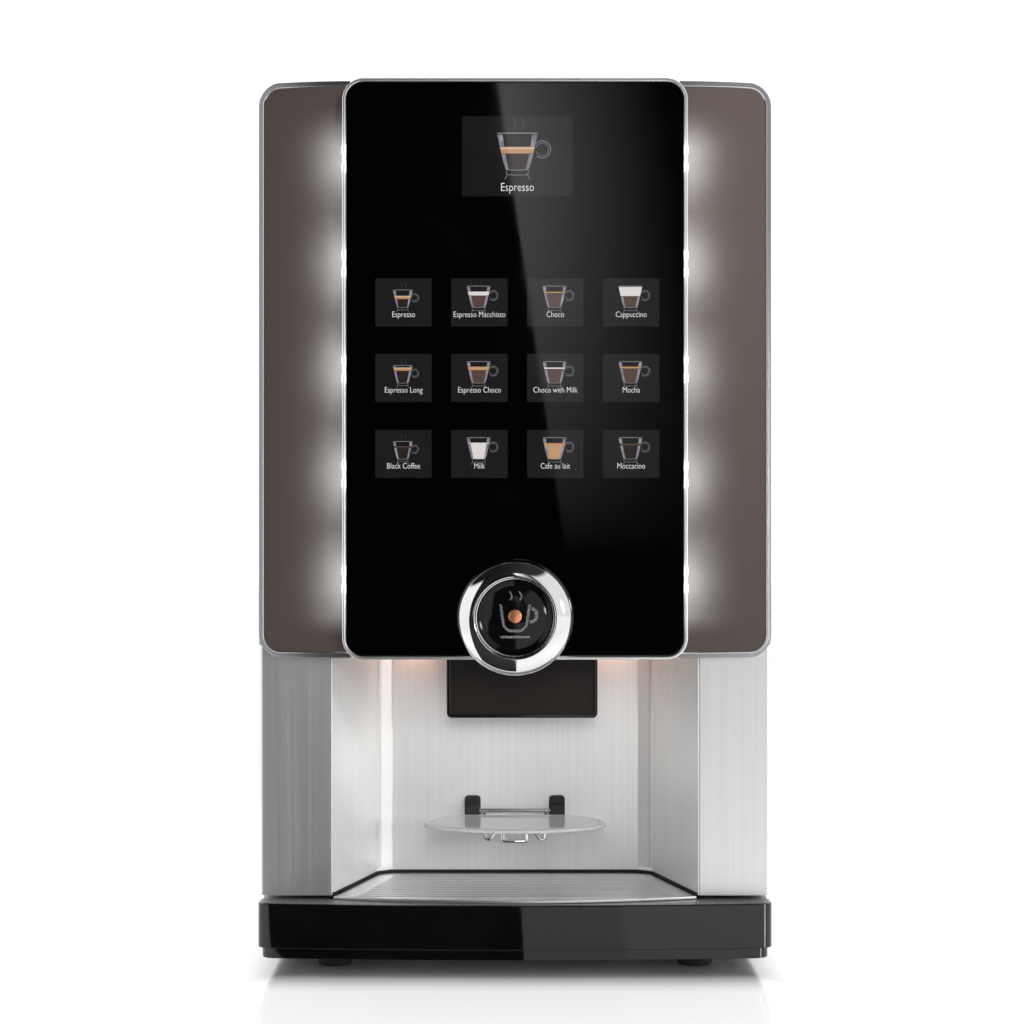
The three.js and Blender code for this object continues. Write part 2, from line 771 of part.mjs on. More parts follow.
// ---------- beans and brewing ----------

// A four-sided funnel with straight walls above it.
function funnel(halfX, halfY, throat, bottom, shoulder, top) {
  const across = polygon([
    [BEANS_X - throat, bottom],
    [BEANS_X + throat, bottom],
    [BEANS_X + halfX, shoulder],
    [BEANS_X + halfX, top],
    [BEANS_X - halfX, top],
    [BEANS_X - halfX, shoulder],
  ]);
  const deep = polygon([
    [BEANS_Y - throat, bottom],
    [BEANS_Y + throat, bottom],
    [BEANS_Y + halfY, shoulder],
    [BEANS_Y + halfY, top],
    [BEANS_Y - halfY, top],
    [BEANS_Y - halfY, shoulder],
  ]);
  return frontal(across, BEANS_Y - halfY, BEANS_Y + halfY).intersect(
    sideways(deep, BEANS_X - halfX, BEANS_X + halfX),
  );
}

function beanHopper() {
  const outer = funnel(66, 100, 20, 576, 625, 694);
  const inner = funnel(66 - MOULDED, 100 - MOULDED, 20 - MOULDED, 575, 625, 695);
  return cut(outer, inner);
}

// Flat gate under the hopper throat, pulled forward to open it.
function hopperShutter() {
  const bottom = 572;
  const top = 574;
  const blade = box(BEANS_X - 22, BEANS_X + 22, BEANS_Y - 50, BEANS_Y + 24, bottom, top);
  const handle = box(BEANS_X - 22, BEANS_X + 22, BEANS_Y - 53, BEANS_Y - 50, bottom, top + 10);
  return joined(blade, handle);
}

function grinder() {
  const profile = [
    [0, 445],
    [30, 445],
    [34, 450],
    [34, 500],
    [42, 506],
    [42, 545],
    [30, 552],
    [24, 571],
    [0, 571],
  ];
  const body = turned(profile, BEANS_X, BEANS_Y, 24);
  const throat = rod([BEANS_X, BEANS_Y, 545], [BEANS_X, BEANS_Y, 580], 17, 16);
  const chute = box(BEANS_X - 14, BEANS_X + 14, BEANS_Y - 62, BEANS_Y - 30, 455, 530);
  const chuteInside = box(BEANS_X - 12, BEANS_X + 12, BEANS_Y - 60, BEANS_Y - 44, 454, 528);
  const arm = box(BEANS_X - 12, BEANS_X + 12, BEANS_Y + 20, BULKHEAD_FRONT - GAP, 460, 490);
  return cut(joined(cut(body, throat), chute, arm), chuteInside);
}

// Brewer: a cylinder with an open top in a C-shaped frame.
function brewUnit() {
  const left = BEANS_X - 50;
  const right = BEANS_X + 50;
  const base = box(left, right, BEANS_Y - 45, 60, 225, 245);
  const back = box(left, right, 35, BULKHEAD_FRONT - GAP, 225, 425);
  const head = box(BEANS_X - 22, BEANS_X + 22, BEANS_Y - 30, 45, 402, 425);
  const chamber = rod([BEANS_X, BEANS_Y, 240], [BEANS_X, BEANS_Y, 330], 27, 24);
  const bore = rod([BEANS_X, BEANS_Y, 252], [BEANS_X, BEANS_Y, 335], 22, 24);
  const guide = rod([BEANS_X, BEANS_Y, 400], [BEANS_X, BEANS_Y, 430], 6 + GAP, 16);
  return cut(joined(base, back, head, chamber), bore, guide);
}

function brewPiston() {
  const profile = [
    [0, 318],
    [22 - 2 * GAP, 318],
    [22 - 2 * GAP, 328],
    [6, 336],
    [6, 438],
    [0, 438],
  ];
  return turned(profile, BEANS_X, BEANS_Y, 24);
}

function wasteBin() {
  const bottom = BASE_TOP + 2;
  const outer = box(-192, -45, -85, 62, bottom, 215);
  const inner = box(-192 + MOULDED, -45 - MOULDED, -85 + MOULDED, 62 - MOULDED, bottom + MOULDED, 216);
  const grip = box(-140, -97, -86, -82, 188, 204);
  return cut(outer, inner, grip);
}

// ---------- powder systems ----------

// Front view of a powder canister: straight sides, slanting shoulders and a round trough.
function canisterOutline(x, inset) {
  const half = 37 - inset;
  const trough = 18 - inset;
  const shape = new THREE.Shape();
  shape.moveTo(x + half, 692);
  shape.lineTo(x - half, 692);
  shape.lineTo(x - half, 580);
  shape.absarc(x, AUGER_Z, trough, Math.PI, 2 * Math.PI);
  shape.lineTo(x + half, 580);
  return shape;
}

function powderCanister(x) {
  const front = -105;
  const rear = 62;
  const outer = frontal(canisterOutline(x, 0), front, rear, 8);
  const inner = frontal(canisterOutline(x, MOULDED), front + MOULDED, rear - MOULDED, 8);
  const open = box(x - 34, x + 34, front + MOULDED, rear - MOULDED, 688, 700);
  const snout = rod([x, front + 1, AUGER_Z], [x, front - 22, AUGER_Z], 17, 16);
  const bore = rod([x, front + 5, AUGER_Z], [x, front - 20, AUGER_Z], 15.2, 16);
  const drop = box(x - 9, x + 9, front - 18, front - 4, AUGER_Z - 30, AUGER_Z);
  const shaftHole = rod([x, rear - 5, AUGER_Z], [x, rear + 5, AUGER_Z], 4 + GAP, 12);
  return cut(joined(cut(outer, inner, open), snout), bore, drop, shaftHole);
}

// Coil of round wire that pushes powder to the front, on a drive dog behind the canister.
function auger(x) {
  const front = -112;
  const rear = 50;
  const turns = 5;
  const radius = 11.5;
  const stepsPerTurn = 8;
  const points = [];
  for (let i = 0; i <= turns * stepsPerTurn; i += 1) {
    const angle = (i / stepsPerTurn) * 2 * Math.PI;
    const y = front + ((rear - front) * i) / (turns * stepsPerTurn);
    const place = [x + radius * Math.cos(angle), y, AUGER_Z + radius * Math.sin(angle)];
    points.push(new THREE.Vector3(...place));
  }
  const wireSection = new THREE.Shape();
  wireSection.absarc(0, 0, 2.2, 0, 2 * Math.PI);
  const extrudePath = new THREE.CatmullRomCurve3(points);
  const steps = turns * stepsPerTurn;
  const coil = new THREE.ExtrudeGeometry(wireSection, { steps, extrudePath, curveSegments: 3 });
  const plate = rod([x, rear - 3, AUGER_Z], [x, rear + 4, AUGER_Z], 14.5, 16);
  const shaft = rod([x, rear, AUGER_Z], [x, 72, AUGER_Z], 4, 12);
  return joined(solidOf(coil), plate, shaft);
}

// Funnel over a whipping chamber, with the outlet at its lowest point.
function mixingBowl(x) {
  const funnelProfile = [
    [0, 412],
    [14, 412],
    [17, 430],
    [34, 462],
    [34, 488],
    [0, 488],
  ];
  const hollowProfile = [
    [0, 405],
    [12, 405],
    [15, 431],
    [32, 463],
    [32, 489],
    [0, 489],
  ];
  const chamber = rod([x, BOWL_Y - 20, WHIPPER_Z], [x, BOWL_Y + 20, WHIPPER_Z], 21, 16);
  const hollow = rod([x, BOWL_Y - 18, WHIPPER_Z], [x, BOWL_Y + 18, WHIPPER_Z], 19, 16);
  const outlet = rod([x, BOWL_Y - 8, WHIPPER_Z - 38], [x, BOWL_Y - 8, WHIPPER_Z - 15], 7, 10);
  const outletBore = rod([x, BOWL_Y - 8, WHIPPER_Z - 40], [x, BOWL_Y - 8, WHIPPER_Z - 12], 5, 10);
  const shaftHole = rod([x, BOWL_Y + 10, WHIPPER_Z], [x, BOWL_Y + 30, WHIPPER_Z], 3.5 + GAP, 10);
  const shell = joined(turned(funnelProfile, x, BOWL_Y, 20), chamber, outlet);
  return cut(shell, turned(hollowProfile, x, BOWL_Y, 20), hollow, outletBore, shaftHole);
}

function whipperImpeller(x) {
  const front = BOWL_Y - 6;
  const disc = rod([x, front, WHIPPER_Z], [x, front + 3, WHIPPER_Z], 16, 20);
  const shaft = rod([x, front, WHIPPER_Z], [x, BOWL_Y + 32, WHIPPER_Z], 3.5, 12);
  const blades = [0, 1].map((i) => {
    const along = i === 0 ? [15, 1] : [1, 15];
    return box(
      x - along[0],
      x + along[0],
      front - 8,
      front + 1,
      WHIPPER_Z - along[1],
      WHIPPER_Z + along[1],
    );
  });
  return joined(disc, shaft, ...blades);
}

function whipperMotor(x) {
  const front = BOWL_Y + 32 + GAP;
  const can = rod([x, front, WHIPPER_Z], [x, front + 56, WHIPPER_Z], 20, 20);
  const flange = box(x - 24, x + 24, front + 52, front + 56, WHIPPER_Z - 24, WHIPPER_Z + 24);
  const arm = box(x - 10, x + 10, front + 50, BULKHEAD_FRONT - GAP, WHIPPER_Z - 10, WHIPPER_Z + 10);
  return joined(can, flange, arm);
}

// ---------- water and power, behind the bulkhead ----------

function boiler() {
  const profile = [
    [0, 190],
    [40, 192],
    [55, 204],
    [55, 350],
    [40, 362],
    [12, 366],
    [12, 384],
    [0, 384],
  ];
  const hollow = [
    [0, 194],
    [39, 195],
    [52, 206],
    [52, 348],
    [39, 359],
    [8, 363],
    [8, 385],
    [0, 385],
  ];
  const tank = turned(profile, BOILER.x, BOILER.y, 24);
  const strap = box(BOILER.x - 25, BOILER.x + 25, BULKHEAD_FRONT + 2 + GAP, 120, 250, 300);
  return cut(joined(tank, strap), turned(hollow, BOILER.x, BOILER.y, 24));
}

function pump() {
  const block = box(-20, 50, 150, 210, BASE_TOP + GAP, 100);
  const coil = box(-12, 42, 158, 202, 99, 140);
  const outlet = rod([15, 180, 139], [15, 180, 165], 8, 12);
  return joined(block, coil, outlet);
}

// Solenoid valve with the threaded mains-water stub that comes out of the rear.
function inletValve() {
  const body = box(WATER_X - 20, WATER_X + 20, 205, 248, 80, 120);
  const stub = rod([WATER_X, 247, 100], [WATER_X, FITTINGS_REAR, 100], 13.2, 24);
  const bore = rod([WATER_X, 255, 100], [WATER_X, FITTINGS_REAR + 1, 100], 8, 16);
  const coil = box(WATER_X - 15, WATER_X + 15, 212, 242, 119, 150);
  return cut(joined(body, stub, coil), bore);
}

// Power supply whose rear face carries the appliance inlet and the main switch.
function powerSupply() {
  const rear = CABINET_REAR - 2 * SHEET - 2 * GAP;
  const boxed = box(MAINS_X - 60, MAINS_X + 60, 150, rear, BASE_TOP + GAP, 150);
  const inside = box(MAINS_X - 58, MAINS_X + 58, 152, rear - 20, BASE_TOP - 1, 148);
  const nose = box(MAINS_X - 31, MAINS_X + 31, rear - 1, CABINET_REAR + 3, 84, 116);
  const socket = box(MAINS_X - 26, MAINS_X + 2, CABINET_REAR - 16, CABINET_REAR + 4, 90, 110);
  const switchBay = box(MAINS_X + 8, MAINS_X + 26, CABINET_REAR - 9, CABINET_REAR + 4, 88, 112);
  return cut(joined(cut(boxed, inside), nose), socket, switchBay);
}

// Rocker that tilts about a level axis in the switch bay.
function powerRocker() {
  const halfWidth = 9 - 2 * GAP;
  const y = CABINET_REAR - 2;
  const outline = polygon([
    [y - 4, 93],
    [y + 3.5, 89.5],
    [y + 5, 93],
    [y + 2.5, 100],
    [y + 5, 107],
    [y + 3.5, 110.5],
    [y - 4, 107],
  ]);
  return sideways(outline, MAINS_X + 17 - halfWidth, MAINS_X + 17 + halfWidth);
}

// ---------- assembly ----------

place("door_frame", doorFrame(), "steel");
place("door_inner_cover", doorInnerCover(), "zinc");
placePair("column", column(), "steel");
place("niche_liner", nicheLiner(), "steel");
place("spout_cover", spoutCover(), "black");
place("nozzle_block", nozzleBlock(), "black");
placePair("shelf_bracket", shelfBracket(), "black");
place("glass_bezel", glassBezel(), "silver");
place("glass_panel", glassPanel(), "glass");
place("panel_carrier", panelCarrier(), "black");
place("display_module", displayModule(), "black");
placePair("wing", wing(), "brown");
placePair("wing_trim", wingTrim(), "silver");
place("emblem_ring", emblemRing(), "chrome");
place("emblem_cap", emblemCap(), "gloss");
place("lock_cylinder", lockCylinder(), "chrome");

place("shelf_plate", shelfPlate(), "clear");
place("shelf_wire", shelfWire(), "chrome");

place("drip_drawer_front", dripDrawerFront(), "gloss");
place("drip_tray", dripTray(), "black");
place("drip_grille", dripGrille(), "steel");

place("chassis_base", chassisBase(), "zinc");
for (const [row, y] of [["front", FRONT_FEET_Y], ["rear", REAR_FEET_Y]]) {
  place("foot_" + row + "_left", foot(-FEET_X, y), "rubber");
  place("foot_" + row + "_right", foot(FEET_X, y), "rubber");
}
placePair("side_panel", sidePanel(), "grey");
place("rear_panel", rearPanel(), "grey");
place("top_frame", topFrame(), "grey");
place("top_lid", topLid(), "grey");
place("bulkhead", bulkhead(), "zinc");
place("hinge_pin_bottom", hingePinBottom(), "chrome");
place("hinge_pin_top", hingePinTop(), "chrome");

place("bean_hopper", beanHopper(), "smoke");
place("hopper_shutter", hopperShutter(), "black");
place("grinder", grinder(), "black");
place("brew_unit", brewUnit(), "black");
place("brew_piston", brewPiston(), "white");
place("waste_bin", wasteBin(), "black");

POWDER_X.forEach((x, i) => {
  const number = i + 1;
  place("powder_canister_" + number, powderCanister(x), "white");
  place("auger_" + number, auger(x), "chrome");
  place("mixing_bowl_" + number, mixingBowl(x), "white");
  place("whipper_impeller_" + number, whipperImpeller(x), "white");
  place("whipper_motor_" + number, whipperMotor(x), "black");
});

place("boiler", boiler(), "brass");
place("pump", pump(), "black");
place("inlet_valve", inletValve(), "brass");
place("power_supply", powerSupply(), "zinc");
place("power_rocker", powerRocker(), "black");

export default machine;
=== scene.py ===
import math
import random

import bmesh
import bpy
from mathutils import Euler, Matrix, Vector

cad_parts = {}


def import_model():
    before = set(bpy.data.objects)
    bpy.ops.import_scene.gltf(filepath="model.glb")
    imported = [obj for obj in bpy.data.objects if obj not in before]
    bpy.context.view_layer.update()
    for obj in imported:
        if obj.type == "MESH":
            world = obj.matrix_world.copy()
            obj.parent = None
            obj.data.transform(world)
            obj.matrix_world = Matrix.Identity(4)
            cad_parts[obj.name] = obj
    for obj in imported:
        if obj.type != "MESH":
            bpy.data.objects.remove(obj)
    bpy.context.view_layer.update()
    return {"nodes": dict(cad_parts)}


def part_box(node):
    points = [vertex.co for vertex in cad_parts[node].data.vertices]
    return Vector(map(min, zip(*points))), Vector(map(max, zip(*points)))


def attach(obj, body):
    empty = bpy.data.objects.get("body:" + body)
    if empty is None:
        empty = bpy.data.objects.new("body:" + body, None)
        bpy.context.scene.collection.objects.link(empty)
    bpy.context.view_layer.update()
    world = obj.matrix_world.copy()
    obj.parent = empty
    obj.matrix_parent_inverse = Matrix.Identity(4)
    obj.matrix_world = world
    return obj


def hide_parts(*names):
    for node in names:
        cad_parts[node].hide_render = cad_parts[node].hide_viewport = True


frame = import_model()

# Lengths in this script are millimetres in the frame's axes: +Z up, the front faces -Y.
MM = 0.001

# ---------- places taken from the frame ----------


def span(node):
    """Lowest and highest corner of a CAD node, in millimetres."""
    low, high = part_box(node)
    return low / MM, high / MM


BEZEL_LOW, BEZEL_HIGH = span("glass_bezel")
GLASS_LOW, GLASS_HIGH = span("glass_panel")
WING_LOW, WING_HIGH = span("wing_right")
TRIM_LOW, TRIM_HIGH = span("wing_trim_right")
COLUMN_FRONT = span("column_right")[0].y
LINER_HIGH = span("niche_liner")[1]
RING_LOW, RING_HIGH = span("emblem_ring")
CAP_LOW, CAP_HIGH = span("emblem_cap")
BAND_LOW, BAND_HIGH = span("drip_drawer_front")
GRILLE_LOW, GRILLE_HIGH = span("drip_grille")
SHELF_LOW, SHELF_HIGH = span("shelf_plate")
HOOD_LOW, HOOD_HIGH = span("spout_cover")
SCREEN_HIGH = span("display_module")[1]
REAR_SHEET = span("rear_panel")[1].y
FLANGE = span("side_panel_right")[1].y
DOOR_SHEET = span("door_inner_cover")[1].y

HALF = TRIM_HIGH.x
GLASS_Y = GLASS_LOW.y
GLASS_CORNER = 17
BEZEL_WIDTH = 2.8
WING_CORNER = 18
TRIM_WIDTH = TRIM_HIGH.x - WING_HIGH.x - 0.3
EMBLEM_Z = (RING_LOW.z + RING_HIGH.z) / 2
NICHE_HALF_FRONT = LINER_HIGH.x - 1.2
NICHE_HALF_REAR = 117
NICHE_BACK = LINER_HIGH.y - 1.2
NICHE_ACROSS = 12.5
NICHE_DEEP = 9
SIDES = ((-1, "left"), (1, "right"))

# ---------- lines ----------


def arc(cx, cy, radius, start, end, steps):
    """Points on an arc, its angles in degrees."""
    turn = [math.radians(start + (end - start) * i / steps) for i in range(steps + 1)]
    return [(cx + radius * math.cos(a), cy + radius * math.sin(a)) for a in turn]


def rounded_rect(x0, x1, y0, y1, radius, steps=10):
    corners = [
        (x1 - radius, y1 - radius, 0), (x0 + radius, y1 - radius, 90),
        (x0 + radius, y0 + radius, 180), (x1 - radius, y0 + radius, 270),
    ]
    return [p for cx, cy, turn in corners for p in arc(cx, cy, radius, turn, turn + 90, steps)]


def filleted(corners, radius, steps=4, closed=False):
    """The line through the corners, in two or three dimensions, with each corner rounded."""
    points = [Vector(c) for c in corners]
    line = []
    for i, point in enumerate(points):
        if not closed and i in (0, len(points) - 1):
            line.append(point)
            continue
        before = points[i - 1] - point
        after = points[(i + 1) % len(points)] - point
        reach = min(radius, before.length * 0.45, after.length * 0.45)
        start = point + before.normalized() * reach
        end = point + after.normalized() * reach
        for k in range(steps + 1):
            t = k / steps
            line.append(start.lerp(point, t).lerp(point.lerp(end, t), t))
    return line


def smoothed(points, steps=4):
    """A Catmull-Rom line through two-dimensional points."""
    padded = [points[0], *points, points[-1]]
    line = []
    for i in range(1, len(padded) - 2):
        a, b, c, d = (Vector(p) for p in padded[i - 1 : i + 3])
        for k in range(steps):
            t = k / steps
            line.append(
                0.5 * (2 * b + (c - a) * t + (2 * a - 5 * b + 4 * c - d) * t**2)
                + 0.5 * (3 * b - a - 3 * c + d) * t**3
            )
    return [tuple(p) for p in line] + [tuple(points[-1])]


# Ways to place a flat outline (u, v): standing at the depth w, or lying at the height w.
def frontal(u, v, w):
    return (u, w, v)


def upright(u, v, w):
    return (u, v, w)


# ---------- solids ----------


class Build:
    """Gathers closed solids, in millimetres, into one piece. What adds a solid returns the build."""

    def __init__(self):
        self.vertices = []
        self.faces = []

    def add(self, vertices, faces):
        first = len(self.vertices)
        self.vertices.extend(vertices)
        self.faces.extend(tuple(first + i for i in face) for face in faces)
        return self

    def loft(self, loops, closed=False):
        """Skins a row of loops with the same number of points, and caps both ends unless closed."""
        count = len(loops[0])
        rows = len(loops)
        faces = []
        for i in range(rows if closed else rows - 1):
            a = i * count
            b = (i + 1) % rows * count
            for k in range(count):
                n = (k + 1) % count
                faces.append((a + k, a + n, b + n, b + k))
        if not closed:
            faces.append(tuple(range(count)))
            faces.append(tuple((rows - 1) * count + k for k in range(count)))
        return self.add([tuple(p) for loop in loops for p in loop], faces)

    def stack(self, levels, place, closed=False):
        """Skins flat outlines, each at its own depth."""
        return self.loft([[place(u, v, w) for u, v in outline] for outline, w in levels], closed)

    def turned(self, profile, place, centre=(0, 0), steps=48, closed=False):
        """A solid of revolution from (radius, depth) points about an axis through centre."""
        turn = [2 * math.pi * k / steps for k in range(steps)]
        cu, cv = centre

        def ring(r, w):
            return [place(cu + r * math.cos(a), cv + r * math.sin(a), w) for a in turn]

        return self.loft([ring(r, w) for r, w in profile], closed)

    def prism(self, outline, place, low, high):
        return self.stack([(outline, low), (outline, high)], place)

    def slab(self, loops, place, low, high, edge):
        """A plate with holes: the first loop is its outline. Its edges are rounded."""
        curve = bpy.data.curves.new("slab", "CURVE")
        curve.dimensions = "2D"
        curve.fill_mode = "BOTH"
        curve.extrude = (high - low) / 2 - edge
        curve.bevel_depth = edge
        curve.bevel_resolution = 1
        curve.offset = -edge
        for loop in loops:
            spline = curve.splines.new("POLY")
            spline.points.add(len(loop) - 1)
            spline.use_cyclic_u = True
            for point, (u, v) in zip(spline.points, loop):
                point.co = (u, v, 0, 1)
        return self.take(curve, place, (low + high) / 2)

    def text(self, words, place, size, u, v, low, high):
        """Raised words in narrow, light letters, centred on u."""
        curve = bpy.data.curves.new("text", "FONT")
        curve.body = words
        curve.size = size
        curve.offset = -0.012 * size
        curve.align_x = "CENTER"
        curve.resolution_u = 3
        curve.extrude = (high - low) / 2
        return self.take(curve, lambda a, b, w: place(u + 0.8 * a, v + b, w), (low + high) / 2)

    def take(self, curve, place, middle):
        """Turns a flat curve into vertices and faces of this piece."""
        holder = bpy.data.objects.new("holder", curve)
        mesh = bpy.data.meshes.new_from_object(holder)
        points = [place(p.co.x, p.co.y, p.co.z + middle) for p in mesh.vertices]
        self.add(points, [tuple(f.vertices) for f in mesh.polygons])
        bpy.data.objects.remove(holder)
        bpy.data.meshes.remove(mesh)
        bpy.data.curves.remove(curve)
        return self

    def tube(self, points, radius, steps=10, closed=False):
        """A round bar along a line in three dimensions."""
        line = [Vector(p) for p in points]
        count = len(line)
        side = None
        loops = []
        for i, point in enumerate(line):
            ahead = line[(i + 1) % count] if closed or i < count - 1 else point
            behind = line[i - 1] if closed or i > 0 else point
            along = (ahead - behind).normalized()
            if side is None:
                side = along.orthogonal().normalized()
            side = (side - along * side.dot(along)).normalized()
            up = along.cross(side)
            turn = [2 * math.pi * k / steps for k in range(steps)]
            loops.append([point + radius * (side * math.cos(a) + up * math.sin(a)) for a in turn])
        return self.loft(loops, closed)

    def make(self, name, look, body, replaced=(), sharp=35, level=False):
        """The gathered solids as one piece that rides on a body. level keeps broad faces flat to light."""
        mesh = bpy.data.meshes.new(name)
        mesh.from_pydata([Vector(v) * MM for v in self.vertices], [], self.faces)
        work = bmesh.new()
        work.from_mesh(mesh)
        bmesh.ops.remove_doubles(work, verts=work.verts, dist=1e-7)
        bmesh.ops.dissolve_degenerate(work, edges=work.edges, dist=1e-7)
        bmesh.ops.recalc_face_normals(work, faces=work.faces)
        work.to_mesh(mesh)
        work.free()
        mesh.shade_smooth()
        mesh.set_sharp_from_angle(angle=math.radians(sharp))
        piece = bpy.data.objects.new(name, mesh)
        bpy.context.scene.collection.objects.link(piece)
        mesh.materials.append(look.material)
        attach(piece, body)
        if replaced:
            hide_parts(*replaced)
        if level:
            weighted = piece.modifiers.new("level", "WEIGHTED_NORMAL")
            weighted.keep_sharp = True
        return piece


# ---------- materials ----------


class Signal:
    """A number inside a node tree, from which sums, products and powers can be made."""

    def __init__(self, net, socket):
        self.net = net
        self.socket = socket

    def __add__(self, other):
        return self.net.math("ADD", self, other)

    def __sub__(self, other):
        return self.net.math("SUBTRACT", self, other)

    def __rsub__(self, other):
        return self.net.math("SUBTRACT", other, self)

    def __mul__(self, other):
        return self.net.math("MULTIPLY", self, other)

    def __truediv__(self, other):
        return self.net.math("DIVIDE", self, other)

    def __pow__(self, other):
        return self.net.math("POWER", self, other)

    def __abs__(self):
        return self.net.math("ABSOLUTE", self)


class Net:
    """Adds nodes to a node tree."""

    def __init__(self, tree):
        self.tree = tree

    def put(self, value, socket):
        """Feeds an input socket from another node, or sets it to a number or a colour."""
        if isinstance(value, Signal):
            value = value.socket
        if isinstance(value, bpy.types.NodeSocket):
            self.tree.links.new(value, socket)
        else:
            socket.default_value = value

    def node(self, kind, values=None, **settings):
        made = self.tree.nodes.new(kind)
        for key, value in settings.items():
            setattr(made, key, value)
        for key, value in (values or {}).items():
            self.put(value, made.inputs[key])
        return made

    def math(self, operation, *values):
        node = self.node("ShaderNodeMath", dict(enumerate(values)), operation=operation)
        return Signal(self, node.outputs[0])

    def ramp(self, value, start, end, low=0.0, high=1.0):
        """The value's range from start to end mapped smoothly to low and high, and held beyond it."""
        values = {"Value": value, "From Min": start, "From Max": end, "To Min": low, "To Max": high}
        node = self.node("ShaderNodeMapRange", values, interpolation_type="SMOOTHSTEP")
        return Signal(self, node.outputs[0])

    def axes(self, vector):
        node = self.node("ShaderNodeSeparateXYZ", {"Vector": vector})
        return [Signal(self, socket) for socket in node.outputs]

    def ray(self, fact):
        return Signal(self, self.node("ShaderNodeLightPath").outputs[fact])


class Look(Net):
    """A Blender material and the record's slot that it stands for."""

    def __init__(self, name, slot, **sockets):
        self.slot = slot
        self.material = bpy.data.materials.new(name)
        self.material.use_nodes = True
        super().__init__(self.material.node_tree)
        self.shader = self.tree.nodes["Principled BSDF"]
        for socket, value in sockets.items():
            self.feed(socket.replace("_", " "), value)
        self.place = self.node("ShaderNodeTexCoord").outputs["Object"]

    def feed(self, socket, value):
        self.put(value, self.shader.inputs[socket])

    def noise(self, grains, detail=3.0):
        """Noise with so many grains per metre, the same along each axis or one number for each."""
        scale = [grains] * 3 if isinstance(grains, float) else grains
        spread = self.node("ShaderNodeMapping", {"Vector": self.place, "Scale": scale}).outputs[0]
        values = {"Vector": spread, "Scale": 1.0, "Detail": detail, "Roughness": 0.55}
        return Signal(self, self.node("ShaderNodeTexNoise", values).outputs["Fac"])

    def between(self, factor, low, high):
        """The factor's usual range, 0.3 to 0.7, mapped to low and high."""
        values = {"Value": factor, "From Min": 0.3, "From Max": 0.7, "To Min": low, "To Max": high}
        return Signal(self, self.node("ShaderNodeMapRange", values).outputs[0])

    def mixed(self, factor, colour_a, colour_b):
        values = {0: factor, 6: colour_a, 7: colour_b}
        return self.node("ShaderNodeMix", values, data_type="RGBA").outputs[2]

    def relief(self, height, depth, strength=1.0):
        values = {"Height": height, "Distance": depth * MM, "Strength": strength}
        self.feed("Normal", self.node("ShaderNodeBump", values).outputs["Normal"])


def shade(colour, factor):
    return (*[min(1.0, c * factor) for c in colour], 1.0)


def surface(name, slot, colour, roughness, grain, contrast=0.1, spread=0.06, relief=0.0, **sockets):
    """A surface whose colour, gloss and relief vary with one grain, in grains per metre."""
    look = Look(name, slot, **sockets)
    pattern = look.noise(grain)
    tone = look.between(pattern, 0.0, 1.0)
    shades = (shade(colour, 1 - contrast), shade(colour, 1 + contrast))
    look.feed("Base Color", look.mixed(tone, *shades))
    look.feed("Roughness", look.between(pattern, roughness - spread, roughness + spread))
    if relief:
        look.relief(pattern, relief)
    return look


def brushed(name, colour, roughness, along, metallic=1.0, dark=0.93):
    """Brushed stainless steel: fine lines along one axis, with broader streaks under them."""
    look = Look(name, "brushed_steel", Metallic=metallic)
    fine = [2600.0] * 3
    broad = [420.0] * 3
    fine[along] = 14.0
    broad[along] = 3.0
    lines = look.noise(fine, detail=2.0)
    streaks = look.noise(broad, detail=4.0)
    both = lines * 0.45 + streaks * 0.55
    tone = look.between(both, 0.0, 1.0)
    look.feed("Base Color", look.mixed(tone, shade(colour, dark), shade(colour, 1.05)))
    look.feed("Roughness", look.between(both, roughness - 0.04, roughness + 0.04))
    look.relief(lines, 0.012, 0.5)
    return look


def wing_paint():
    """Satin brown paint, with the white glow of the hidden lamps beside the glass painted on as emission."""
    look = Look("wing_paint", "brown_wing", Specular_IOR_Level=0.12)
    flakes = look.noise(5200.0, detail=1.0)
    brown = (0.054, 0.0425, 0.0385)
    look.feed("Base Color", look.mixed(flakes, shade(brown, 0.8), shade(brown, 1.2)))
    look.feed("Roughness", look.between(flakes, 0.36, 0.46))
    add_painted_lamp_glow(look, reach=18.0, height=27.0, strength=0.35)
    return look


def add_painted_lamp_glow(look, reach, height, strength):
    """Painted light: emission beside each lamp as a painted pool of its light, widest at the lamp's level
    and fading away from the glass edge.
    """
    x, _, z = look.axes(look.place)
    lowest, highest = LAMP_LEVELS[0] * MM, LAMP_LEVELS[-1] * MM
    half_pitch = LAMP_PITCH / 2 * MM
    foot = lowest - half_pitch
    from_glass = look.math("MAXIMUM", abs(x) - BEZEL_HIGH.x * MM, 0.0)
    from_lamp = look.math("WRAP", z - lowest, half_pitch, -half_pitch)
    away = (from_glass / (reach * MM)) ** 1.7
    along = abs(from_lamp / (height * MM)) ** 2.0
    pool = look.math("EXPONENT", (along + away) * -1.0)
    column = look.math("EXPONENT", away * -0.8)
    ends = look.ramp(z, foot - 4 * MM, foot + 14 * MM) * look.ramp(z, highest + 46 * MM, highest + 8 * MM)
    mist = look.between(look.noise((60.0, 60.0, 40.0)), 0.9, 1.1)
    look.feed("Emission Strength", (pool + column * 0.3) * ends * mist * strength)
    look.feed("Emission Color", (1.0, 0.99, 0.96, 1.0))


def silver_edge():
    """Satin silver moulding, with the lamps' light along the glass painted on it as emission."""
    look = Look("silver_edge", "silver_trim", Metallic=1.0)
    grain = look.noise(EVEN)
    look.feed("Base Color", look.mixed(grain, (0.8, 0.8, 0.81, 1.0), (0.88, 0.88, 0.89, 1.0)))
    look.feed("Roughness", look.between(grain, 0.32, 0.38))
    add_painted_lamp_glow(look, reach=30.0, height=13.0, strength=0.6)
    return look


